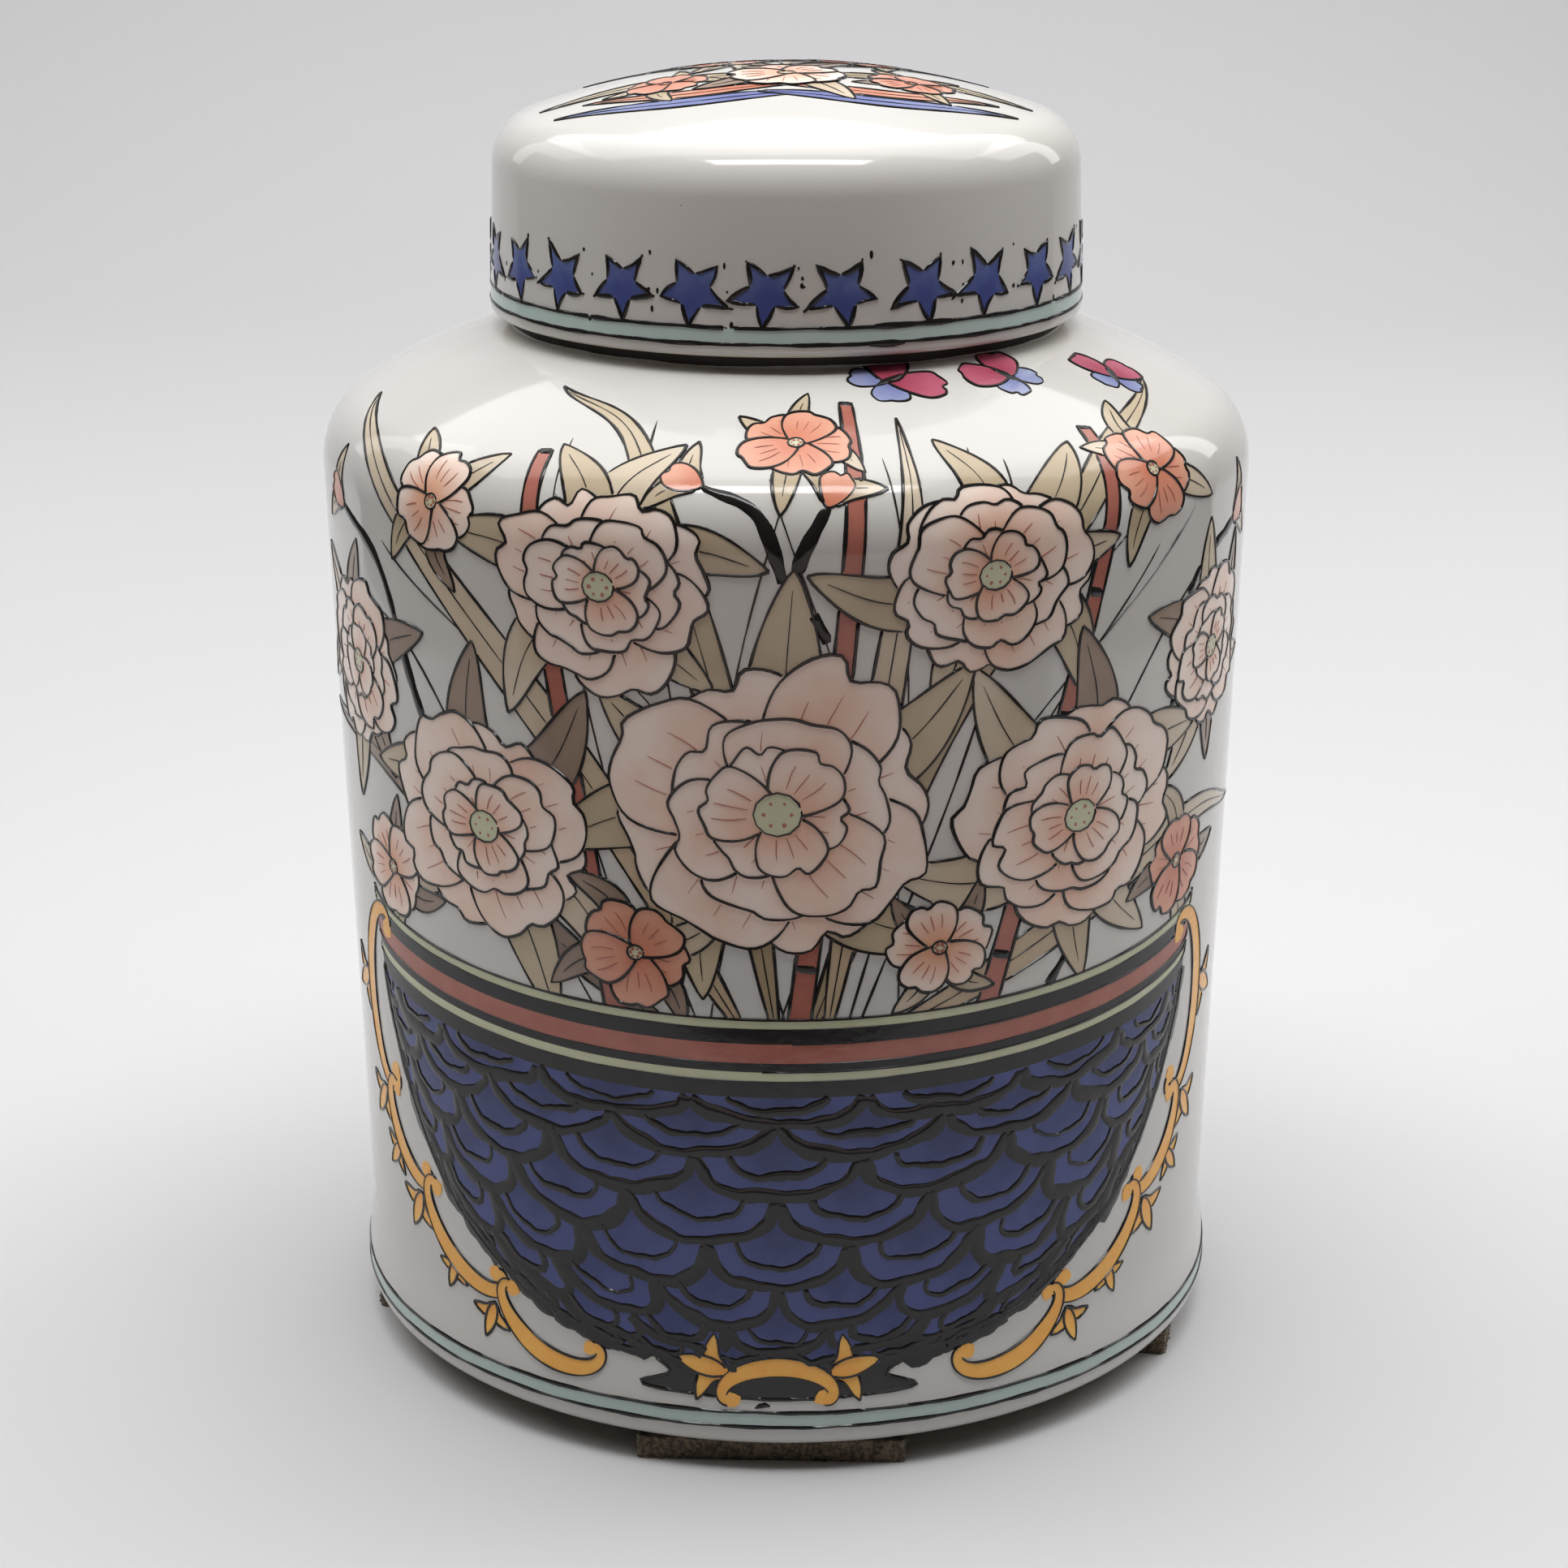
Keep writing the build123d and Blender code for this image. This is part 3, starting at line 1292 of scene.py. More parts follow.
    def crest(self, middle: Point, turn: float, size: float) -> None:
        """Paint three gold leaves that fan out from a point.

        Args:
            middle: The point.
            turn: The direction of the middle leaf in radians.
            size: Its length.
        """
        for lean, share in ((-0.8, 0.8), (0.8, 0.8), (0.0, 1.0)):
            bend, tip = turn + 0.6 * lean, turn + 1.25 * lean
            path = polar(middle, ((0.0, turn), (0.5 * size * share, bend), (size * share, tip)))
            self.leaf(path, 0.36 * size * share, Ink.GOLD, False)

    def twig(self, points: Sequence[Point], width: float) -> None:
        """Paint a black twig along a path, with two leaves and a bud at its end.

        Args:
            points: The path, from the root to the bud.
            width: The twig's usual width.
        """
        self.canvas.line(self.hand.curve(self.at(points)), width, taper=(1.0, 0.7))
        (x0, y0), (x1, y1) = points[-2:]
        turn = math.atan2(y1 - y0, x1 - x0)
        for lean, ink in ((-0.9, Ink.TAN), (0.9, Ink.KHAKI)):
            path = polar((x1, y1), ((0.0, turn), (6.0, turn + 0.6 * lean), (13.0, turn + lean)))
            self.leaf(path, 4.6, ink)
        self.petal((x1, y1), turn * self.side, (8.5, 7.0), Ink.ORANGE, 1.0, None)

    def butterfly(self, middle: Point, size: float, turn: float, inks: tuple[Ink, Ink]) -> None:
        """Paint a butterfly.

        Args:
            middle: Its middle.
            size: The length of its fore wings.
            turn: Its direction in radians.
            inks: The colours of its fore wings and its hind wings.
        """
        for lean, ink, share in ((2.3, inks[1], 0.7), (0.85, inks[0], 1.0)):
            for side in (-1, 1):
                self.petal(middle, turn + side * lean, (size * share, size * share * 0.85), ink, 1.0, None)
        body = np.array(((-0.35, 0.0), (0.0, 0.03), (0.4, 0.0))) * size
        self.canvas.line(self.hand.curve(self.about(middle, body @ turning(turn)), step=0.8), 1.7)


@dataclass(frozen=True)
class Bowl:
    """A painted footed bowl with rows of blue scales, a striped rim and gold scrolls.

    A scroll is its two ends and its width, and a crest its place, its direction and its size. Stripes lie
    between two heights above the bowl's edge.
    """

    sides: tuple[Point, ...] = ((40, 26), (62, 34), (84, 50), (98, 69), (106, 86), (109, 97))
    sag: tuple[float, float] = (3.0, 10.0)
    rows: int = 8
    count: int = 9
    roundness: float = 2.3
    scale_lines: tuple[Point, Point] = ((4.0, 0.2), (2.0, 0.3))
    scale_wash: float = 17.0
    side_line: float = 1.5
    foot: tuple[Point, ...] = (
        (-27, 25), (-24, 21), (-30, 17.4), (0, 16.2), (30, 17.4), (24, 21), (27, 25), (0, 23),
    )
    foot_line: float = 0.9
    foot_scroll: tuple[Point, Point, float] = ((-11, 20), (11, 20), 4.4)
    foot_crests: tuple[tuple[Point, float, float], ...] = (((-11, 22), 2.9, 12.0), ((11, 22), 0.24, 12.0))
    garland: tuple[tuple[Point, Point, float], ...] = (
        ((113, 107), (112, 69), 5.4), ((110, 65), (95, 48), 5.0), ((93, 45), (70, 30), 5.0),
        ((67, 28), (43, 19), 4.6),
    )
    crests: tuple[tuple[Point, float, float], ...] = (
        ((121, 90), -0.5, 12.0), ((113, 65), -0.9, 11.0), ((106, 53), -0.8, 9.0), ((96, 45), -1.1, 11.0),
        ((83, 33), -1.2, 8.0), ((70, 27), -1.3, 9.0),
    )
    stripes: tuple[tuple[float, float, Ink], ...] = (
        (0.0, 3.6, Ink.LINE), (3.6, 5.8, Ink.YELLOW), (5.8, 7.6, Ink.LINE), (7.6, 12.2, Ink.BRICK),
        (12.2, 15.4, Ink.LINE), (15.4, 17.6, Ink.YELLOW),
    )
    stripe_line: float = 0.7
    rim_flare: float = 0.0015

    def spot(self, turn: np.ndarray, share: np.ndarray | float) -> np.ndarray:
        """Give a place on the bowl from its turn round the bowl and its share of the height.

        Args:
            turn: The turn in radians, from the bowl's middle.
            share: The share of the height.

        Returns:
            Rows of across and up.
        """
        steps = np.linspace(0, 1, len(self.sides))
        wide, high = (np.interp(share, steps, column) for column in np.array(self.sides, float).T)
        drop = self.sag[0] + (self.sag[1] - self.sag[0]) * np.asarray(share)
        return np.c_[wide * np.sin(turn), high - drop * np.cos(turn)]

    def paint(self, brush: Brush) -> None:
        """Paint the foot, the dark bowl, all its scales, the lines round them, and the rim.

        Args:
            brush: The brush.
        """
        foot = brush.hand.curve(brush.at(self.foot), closed=True)
        brush.canvas.shape(foot, Ink.LINE, self.foot_line)
        turns, shares = np.linspace(-math.pi / 2, math.pi / 2, 40), np.linspace(0, 1, 12)
        left, right = self.spot(turns[0], shares[::-1]), self.spot(turns[-1], shares)
        bottom, top = self.spot(turns[1:-1], 0.0), self.spot(turns[-2:0:-1], 1.0)
        brush.canvas.fill(brush.at(np.vstack((left, bottom, right, top))), Ink.LINE)
        edges = []
        for row in range(self.rows):
            for column in range(self.count + row % 2):
                middle = -math.pi / 2 + (column + 0.5 * (1 - row % 2)) * math.pi / self.count
                edges += self.scale(brush, middle, 1 - row / self.rows)
        for path, width, level in edges:
            path[:, 1] += brush.hand.tremble(len(path), 34.0, 0.5)
            brush.canvas.line(path, width, level=level, taper=(0.8, 0.8))
        for side in (-1, 1):
            profile = [(side * wide, high) for wide, high in self.sides]
            brush.canvas.line(brush.hand.curve(brush.at(profile)), self.side_line, taper=(1.0, 1.0))
        for low, high, ink in self.stripes:
            self.stripe(brush, low, high, ink)

    def scale(self, brush: Brush, middle: float, top: float) -> list[tuple[np.ndarray, float, int]]:
        """Fill one scale, and plan the heavy line round its lower edge and a thin one inside it.

        Args:
            brush: The brush.
            middle: Its middle's turn round the bowl.
            top: The share of the height where its widest part lies.

        Returns:
            Each line's path, its width and the level that it lies on.
        """
        depth, half = 1 / self.rows, math.pi / 2 / self.count
        over = np.linspace(-1, 1, 19)
        lower = (1 - np.abs(over) ** self.roundness) ** (1 / self.roundness)
        upper = 1 - (1 - (1 - np.abs(over)) ** self.roundness) ** (1 / self.roundness)

        def placed(across: np.ndarray, down: np.ndarray) -> np.ndarray:
            """Place points of the scale on the canvas."""
            turn = np.clip(middle + across * half, -math.pi / 2, math.pi / 2)
            return brush.at(self.spot(turn, np.clip(top - down * depth, 0, 1)))

        edge = placed(over, lower)
        outline = np.vstack((edge, placed(over[::-1], -upper[::-1])[1:-1]))
        keep = np.hypot(*np.diff(outline, axis=0, append=outline[:1]).T) > 0.05
        if keep.sum() < 5:
            return []
        heart = placed(np.array((0.0,)), np.array((-0.6,)))[0]
        level = brush.canvas.fill(outline[keep], Ink.COBALT, tuple(heart), self.scale_wash)
        inner = placed(over * 0.6, lower * 0.55 - 0.05)
        return [
            (brush.hand.spaced(path, 1.1), brush.hand.near(*width), level)
            for path, width in zip((edge, inner), self.scale_lines)
        ]

    def stripe(self, brush: Brush, low: float, high: float, ink: Ink) -> None:
        """Paint one stripe of the rim, between two heights above the bowl's edge.

        Args:
            brush: The brush.
            low: The lower height.
            high: The upper height.
            ink: Its colour.
        """
        turns = np.linspace(-math.pi / 2, math.pi / 2, 60)
        edge = self.spot(turns, 1.0)
        lower, upper = (edge * (1 + self.rim_flare * rise, 1) + (0, rise) for rise in (low, high))
        outline = brush.at(np.vstack((lower, upper[::-1])))
        if ink is Ink.LINE:
            brush.canvas.fill(outline, ink)
        else:
            brush.canvas.shape(outline, ink, self.stripe_line)

    def gild(self, brush: Brush) -> None:
        """Paint the gold: a garland of scrolls and leaves at each side, and one scroll on the foot.

        Args:
            brush: The brush.
        """
        for side in (1, -1):
            hand = Brush(brush.canvas, brush.across, side)
            for crest in self.crests:
                hand.crest(*crest)
            for scroll in self.garland:
                hand.scroll(*scroll, -1)
        for crest in self.foot_crests:
            brush.crest(*crest)
        brush.scroll(*self.foot_scroll, -1)


@dataclass(frozen=True)
class Bouquet:
    """A painted bouquet: canes, twigs, long leaves and flowers, as places over the bowl.

    Tendrils fan out from their root through a middle to a top, which the outer ones reach by a droop less.
    """

    flowers: tuple[tuple[Point, float], ...]
    blossoms: tuple[tuple[Point, float, Ink], ...]
    blades: tuple[tuple[tuple[Point, ...], float, Ink], ...]
    canes: tuple[tuple[Point, ...], ...]
    twigs: tuple[tuple[Point, ...], ...]
    butterflies: tuple[tuple[Point, float, float], ...]
    tendrils: int = 16
    tendril_root: Point = (40, 100)
    tendril_middle: Point = (70, 165)
    tendril_top: Point = (128, 232)
    tendril_droop: float = 50.0
    tendril_line: Point = (0.55, 0.25)
    cane_width: float = 4.4
    twig_width: float = 2.8

    def paint(self, brush: Brush) -> None:
        """Paint the bouquet from the back to the front.

        Args:
            brush: The brush.
        """
        hand, canvas = brush.hand, brush.canvas
        for n in range(self.tendrils):
            lean = (n + 0.5) / self.tendrils * 2 - 1 + hand.off(0.06)
            high = self.tendril_top[1] - self.tendril_droop * lean * lean + hand.off(12)
            wide = self.tendril_middle[0] * lean + hand.off(26)
            path = (
                (self.tendril_root[0] * lean, self.tendril_root[1]),
                (wide, self.tendril_middle[1] + hand.off(10)),
                (self.tendril_top[0] * lean, high),
            )
            canvas.line(hand.curve(brush.at(path)), hand.near(*self.tendril_line))
        for points, width, ink in self.blades:
            brush.leaf(points, width, ink)
        for points in self.canes:
            brush.cane(points, self.cane_width)
        for points in self.twigs:
            brush.twig(points, self.twig_width)
        for middle, size in self.flowers:
            brush.foliage(middle, size * 1.5, 6)
        for middle, size, ink in self.blossoms:
            brush.foliage(middle, size * 1.7, 4)
            brush.flower(middle, size, ink, Brush.BLOSSOM)
        for middle, size in self.flowers:
            brush.flower(middle, size, Ink.SALMON, squash=hand.near(0.9, 0.08))
        for middle, size, turn in self.butterflies:
            brush.butterfly(middle, size, turn, (Ink.RASPBERRY, Ink.PERIWINKLE))


FRONT = Bouquet(
    flowers=(
        ((-112, 166), 19), ((113, 170), 20), ((-36, 196), 23), ((44, 198), 24), ((-66, 140), 27),
        ((67, 143), 28), ((0, 150), 33),
    ),
    blossoms=(
        ((4, 231), 11, Ink.ORANGE), ((-78, 208), 12, Ink.SALMON), ((88, 214), 12, Ink.ORANGE),
        ((-30, 118), 12, Ink.ORANGE), ((34, 119), 11, Ink.SALMON), ((-100, 122), 12, Ink.SALMON),
        ((102, 124), 12, Ink.ORANGE),
    ),
    blades=(
        (((-6, 100), (-44, 160), (-92, 206), (-130, 226)), 9, Ink.TAN),
        (((6, 100), (34, 170), (74, 217), (122, 236)), 9, Ink.KHAKI),
        (((-20, 100), (-92, 144), (-140, 150)), 8, Ink.BROWN),
        (((20, 100), (98, 132), (142, 128)), 8, Ink.TAN),
        (((0, 100), (-14, 180), (-34, 230), (-66, 245)), 8, Ink.KHAKI),
        (((10, 100), (24, 190), (30, 238)), 7, Ink.TAN),
    ),
    canes=(
        ((-34, 100), (-44, 160), (-54, 224)), ((4, 100), (12, 170), (18, 244)),
        ((44, 100), (62, 165), (78, 228)),
    ),
    twigs=(
        ((-50, 100), (-84, 160), (-98, 190), (-116, 200)), ((56, 100), (92, 150), (102, 186), (124, 196)),
        ((2, 196), (-4, 212), (-16, 218)), ((10, 186), (4, 200), (10, 214)),
    ),
    butterflies=(((34, 252), 12, 0.5), ((74, 249), 11, 2.0), ((112, 240), 10, 0.9)),
)
BACK = Bouquet(
    flowers=(((-70, 160), 25), ((74, 156), 26), ((-20, 198), 22), ((48, 202), 20), ((0, 146), 31)),
    blossoms=(
        ((-104, 134), 12, Ink.ORANGE), ((106, 130), 12, Ink.SALMON), ((-60, 206), 12, Ink.ORANGE),
        ((12, 230), 11, Ink.SALMON),
    ),
    blades=(
        (((-8, 100), (-50, 150), (-104, 196), (-120, 214)), 9, Ink.KHAKI),
        (((8, 100), (52, 160), (96, 200), (124, 206)), 9, Ink.TAN),
        (((14, 100), (96, 128), (136, 150)), 8, Ink.BROWN),
        (((-14, 100), (-90, 130), (-134, 128)), 8, Ink.TAN),
    ),
    canes=(((-24, 100), (-30, 170), (-40, 226)), ((30, 100), (38, 170), (52, 228))),
    twigs=(((-46, 100), (-88, 160), (-110, 176)), ((50, 100), (96, 166), (118, 184))),
    butterflies=(((-44, 244), 10, 2.4),),
)
SPRAY = Bouquet(
    flowers=(),
    blossoms=(
        ((-26, -15), 9, Ink.ORANGE), ((27, -14), 9, Ink.ORANGE), ((-14, 13), 12, Ink.SALMON),
        ((17, 16), 12, Ink.ORANGE), ((0, -13), 13, Ink.SALMON),
    ),
    blades=(
        (((6, -29), (-22, -33), (-50, -26)), 5.5, Ink.PERIWINKLE),
        (((-6, -29), (22, -33), (50, -25)), 5.5, Ink.PERIWINKLE),
        (((2, -23), (-22, -27), (-44, -20)), 5.0, Ink.ORANGE),
        (((-2, -23), (22, -27), (46, -19)), 5.0, Ink.ORANGE),
        (((-4, -14), (-28, -12), (-54, -14)), 7.0, Ink.TAN),
        (((4, -14), (30, -10), (54, -12)), 7.0, Ink.KHAKI),
        (((0, -4), (-26, 12), (-46, 18)), 8.0, Ink.TAN),
        (((0, -4), (28, 14), (46, 20)), 8.0, Ink.BROWN),
        (((0, 0), (4, 22), (-2, 42)), 8.0, Ink.TAN),
    ),
    canes=(),
    twigs=(),
    butterflies=(),
    tendrils=0,
)


@dataclass
class JarBody:
    """The turned porcelain body: foot, wall, domed shoulder, lid seat and neck.

    Points are (radius, height). The clay is bare up to a ragged edge over the foot, and on the seat and
    neck. The mark is a height over the foot and the distance up that the drawing calls it.
    """

    foot_z: float = 5.5
    recess: Point = (71.3, 8.0)
    recess_round: float = 1.5
    foot_flat: float = 96.2
    foot_radius: float = 101.0
    foot_roll: float = 4.8
    flare_top: Point = (99.6, 31.5)
    flare_pull: float = 9.54
    edge: Point = (104.2, 214.7)
    edge_round: float = 17.4
    shoulder_top: Point = (61.7, 234.55)
    shoulder_curve: float = 150.0
    seat_z: float = 237.4
    wall: float = 5.5
    neck_radius: float = 58.2
    neck_top: float = 251.4
    neck_bore: float = 53.2
    lip_round: float = 1.8
    throat_z: float = 231.4
    floor_z: float = 13.5
    floor_round: float = 14.0
    bare_foot: float = 0.9
    bare_ragged: float = 1.2
    bare_seat: Point = (0.5, 0.4)
    girth: float = 102.0
    facing: float = -91.0
    mark: Point = (36.0, 40.0)
    front: float = 160.0
    seed: int = 11
    band: tuple[float, float] = (9.6, 13.0)
    band_line: float = 1.0
    dab: tuple[Point, ...] = ((-5.2, 14.0), (-3.2, 14.9), (-1.6, 14.6))
    dab_line: float = 1.2

    def outside(self) -> np.ndarray:
        """Draw the outside, from the flat of the foot up to the top of the shoulder.

        Returns:
            Rows of radius and height.
        """
        roll_z = self.foot_z + self.foot_roll
        section = Section((self.foot_flat, self.foot_z))
        section.sweep((self.foot_flat, roll_z), (self.foot_radius, roll_z))
        lean = (self.edge[0] - self.flare_top[0]) / (self.edge[1] - self.flare_top[1])
        pulls = (
            (self.foot_radius, roll_z),
            (self.foot_radius, roll_z + self.flare_pull),
            (self.flare_top[0] - lean * self.flare_pull, self.flare_top[1] - self.flare_pull),
            self.flare_top,
        )
        for t in np.linspace(0, 1, 15)[1:]:
            weights = ((1 - t) ** 3, 3 * t * (1 - t) ** 2, 3 * t * t * (1 - t), t**3)
            section.to(sum(w * np.array(p) for w, p in zip(weights, pulls)))
        shoulder = arc_centre(self.edge, self.shoulder_top, self.shoulder_curve)
        section.round_onto(self.edge, shoulder, self.edge_round).sweep(shoulder, self.shoulder_top)
        return section.array()

    def inside(self) -> np.ndarray:
        """Draw the inside, from the middle of the floor up to the lip.

        Returns:
            Rows of radius and height.
        """
        edge = (self.edge[0] - self.wall, self.edge[1] - self.wall)
        throat = (self.neck_bore, self.throat_z)
        shoulder = arc_centre(edge, throat, self.shoulder_curve - self.wall)
        section = Section((0, self.floor_z))
        section.round((self.flare_top[0] - self.wall, self.floor_z), edge, self.floor_round)
        section.round_onto(edge, shoulder, self.edge_round - self.wall).sweep(shoulder, throat)
        lip = (self.neck_bore, self.neck_top)
        return section.round(lip, (self.neck_radius, self.neck_top), self.lip_round).array()

    def build(self) -> bpy.types.Object:
        """Turn the body and glaze it.

        Returns:
            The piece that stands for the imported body.
        """
        under = Section((0, self.recess[1])).to(self.recess)
        under.round((self.recess[0], self.foot_z), (self.foot_flat, self.foot_z), self.recess_round)
        neck = Section(self.shoulder_top)
        neck.to((self.shoulder_top[0], self.seat_z), (self.neck_radius, self.seat_z))
        neck.round((self.neck_radius, self.neck_top), (self.neck_bore, self.neck_top), self.lip_round)
        whole = np.vstack((under.array(), self.outside(), neck.array()[1:], self.inside()[::-1]))
        ledge, sill = (top + margin for top, margin in zip(self.shoulder_top, self.bare_seat))
        glaze = Glaze("glaze_jar", self.foot_z + self.bare_foot, self.bare_ragged, sill, ledge)
        piece = finish_piece(turn_piece(whole), "jar_porcelain", glaze.material(), "jar")
        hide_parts("jar_body")
        return piece

    def ground(self) -> Ground:
        """Give the outside as a painter's ground."""
        mark = (self.foot_z + self.mark[0], self.mark[1])
        return Ground(self.outside(), self.girth, self.facing, mark)

    def paint(self) -> list[bpy.types.Object]:
        """Paint the band round the foot, a bowl of flowers on the front and on the back, and a stray dab.

        Returns:
            The enamel pieces.
        """
        canvas = Canvas(self.ground(), Hand(self.seed), "jar", "jar")
        paint_band(canvas, self.band, self.band_line)
        for across, bouquet in ((0.0, FRONT), (math.pi * self.girth, BACK)):
            brush = Brush(canvas, across)
            bouquet.paint(brush)
            Bowl().paint(brush)
            Bowl().gild(brush)
        canvas.line(canvas.hand.curve(self.dab), self.dab_line)
        return canvas.build(self.front)


def paint_band(canvas: Canvas, band: tuple[float, float], width: float) -> None:
    """Paint a celadon band between two black lines all the way round, with its wash from below.

    Args:
        canvas: The canvas.
        band: The heights of the two lines.
        width: The lines' usual width.
    """
    half = math.pi * canvas.ground.girth
    low, high = band
    far, wash = 2000.0, 1.5

    def level_run(height: float, count: int) -> np.ndarray:
        """Give points at one height all the way round."""
        return np.c_[np.linspace(-half, half, count), np.full(count, height)]

    stripe = np.vstack((level_run(low, 240), level_run(high, 240)[::-1]))
    canvas.fill(stripe, Ink.CELADON, (0.0, low - far), far + wash)
    for height in band:
        ring = level_run(height, 420)
        ring[:, 1] += canvas.hand.tremble(len(ring), 2 * half, 0.06)
        canvas.line(ring, width, level=1, taper=(0.8, 0.8))


@dataclass
class Lid:
    """The turned drop-over lid: tapered wall, rounded upper edge and domed crown.

    Points are (radius, height). A star's reach is that of its tips and its notches, each with its spread.
    A stroke is where it starts and ends across, its height and its width.
    """

    rim: Point = (65.8, 237.4)
    rim_round: float = 1.2
    rim_break: float = 0.6
    edge: Point = (64.6, 277.4)
    edge_round: float = 11.7
    crown_z: float = 289.7
    wall: float = 5.9
    crown: float = 5.5
    bare_rim: float = 0.35
    bare_ragged: float = 0.9
    girth: float = 65.2
    facing: float = -91.0
    mark: Point = (9.1, 245.0)
    seed: int = 5
    crown_seed: int = 8
    band: tuple[float, float] = (238.67, 242.05)
    band_line: float = 0.95
    star_height: float = 249.4
    star_reach: tuple[Point, Point] = ((7.5, 0.12), (3.4, 0.1))
    star_line: Point = (1.05, 0.15)
    star_wash: float = 13.0
    star_bearings: tuple[float, ...] = (
        -164.5, -150.2, -136.1, -121.2, -107.1, -93.5, -79.9, -64.1, -50.6, -36.0, -21.7,
    )
    stars_behind: int = 14
    strokes: tuple[tuple[Point, float, float], ...] = (
        ((19.0, 38.0), 242.05, 1.7), ((18.0, 26.0), 238.5, 2.0), ((-44.0, -36.0), 242.05, 1.3),
    )

    def outside(self) -> np.ndarray:
        """Draw the outside, from the rim up to the middle of the crown.

        Returns:
            Rows of radius and height.
        """
        dome = (0.0, self.crown_z - self.dome_radius(self.edge, self.crown_z))
        section = Section((self.rim[0] - self.wall + self.rim_break, self.rim[1]))
        section.round(self.rim, self.edge, self.rim_round)
        section.round_onto(self.edge, dome, self.edge_round)
        return section.sweep(dome, (0.0, self.crown_z)).array()

    @staticmethod
    def dome_radius(edge: Point, top: float) -> float:
        """Give the radius of the dome that is level at its top and runs down to an edge."""
        rise = top - edge[1]
        return (edge[0] ** 2 + rise**2) / (2 * rise)

    def hollow(self) -> np.ndarray:
        """Draw the inside, from the rim up to the middle of the crown.

        Returns:
            Rows of radius and height.
        """
        bore = (self.rim[0] - self.wall, self.rim[1])
        top = self.crown_z - self.crown
        reach = self.edge[0] - self.wall
        rise = (self.crown_z - self.edge[1]) * (reach / self.edge[0]) ** 2
        edge = (reach, top - rise)
        dome = (0.0, top - self.dome_radius(edge, top))
        section = Section((self.rim[0] - self.rim_round, self.rim[1]))
        section.round(bore, edge, self.rim_break)
        section.round_onto(edge, dome, self.edge_round - self.wall)
        return section.sweep(dome, (0.0, top)).array()

    def build(self) -> bpy.types.Object:
        """Turn the lid and glaze it.

        Returns:
            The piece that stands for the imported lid.
        """
        whole = np.vstack((self.outside()[::-1][:-1], self.hollow()[1:]))
        glaze = Glaze("glaze_lid", self.rim[1] + self.bare_rim, self.bare_ragged)
        piece = finish_piece(turn_piece(whole), "lid_porcelain", glaze.material(), "lid")
        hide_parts("lid")
        return piece

    def paint(self) -> list[bpy.types.Object]:
        """Paint the band with a few heavier strokes, the row of stars, and the spray on the crown.

        Returns:
            The enamel pieces.
        """
        mark = (self.rim[1] + self.mark[0], self.mark[1])
        ground = Ground(self.outside(), self.girth, self.facing, mark)
        canvas = Canvas(ground, Hand(self.seed), "lid", "lid")
        paint_band(canvas, self.band, self.band_line)
        for ends, height, width in self.strokes:
            run = np.c_[np.linspace(*ends, 16), np.full(16, height)]
            canvas.line(run, width, level=1, taper=(0.6, 0.4))
        first, last = self.star_bearings[0] + 360, self.star_bearings[-1]
        behind = np.linspace(last, first, self.stars_behind + 2)[1:-1]
        for bearing in (*self.star_bearings, *behind):
            self.star(canvas, math.radians((bearing - self.facing + 180) % 360 - 180) * self.girth)
        crown = Canvas(Crown(self.outside()[::-1]), Hand(self.crown_seed), "crown", "lid")
        SPRAY.paint(Brush(crown))
        return canvas.build() + crown.build()

    def star(self, canvas: Canvas, across: float) -> None:
        """Paint one star, point down, with lines that run past its tips and specks beside it.

        Args:
            canvas: The canvas.
            across: The star's place.
        """
        hand = canvas.hand
        middle = np.array((across, self.star_height))
        tilt = hand.off(0.14)
        corners = []
        for n in range(10):
            turn = -TURN / 4 + tilt + n * TURN / 10 + hand.off(0.07)
            far = hand.near(*self.star_reach[n % 2])
            corners.append(middle + (far * math.cos(turn) * 1.02, far * math.sin(turn)))
        corners[0][1] = self.band[1] + 0.2
        sides = []
        for a, b in zip(corners, corners[1:] + corners[:1]):
            bow = (a + b) / 2 + (hand.off(0.35), hand.off(0.35))
            sides.append(hand.curve((a, bow, b), step=1.2))
        outline = np.vstack([side[:-1] for side in sides])
        level = canvas.fill(outline, Ink.STAR, tuple(middle + (0, -3)), self.star_wash)
        for n in range(0, 10, 2):
            tip = np.vstack((sides[n - 1], sides[n][1:]))
            canvas.line(tip, hand.near(*self.star_line), level=level, taper=(0.75, 0.75))
            if n and hand.chance.random() < 0.55:
                past = corners[n] + (corners[n] - corners[n - 1]) * hand.near(0.14, 0.6)
                canvas.line(hand.spaced(np.array((corners[n], past)), 0.6), 0.6, level=0, taper=(1.0, 0.3))
        for _ in range(hand.chance.integers(1, 5)):
            speck = middle + (7.6 + hand.off(1.6), hand.off(8.0))
            canvas.dot(tuple(speck), hand.near(0.65, 0.4), stretch=hand.near(1.5, 0.4))


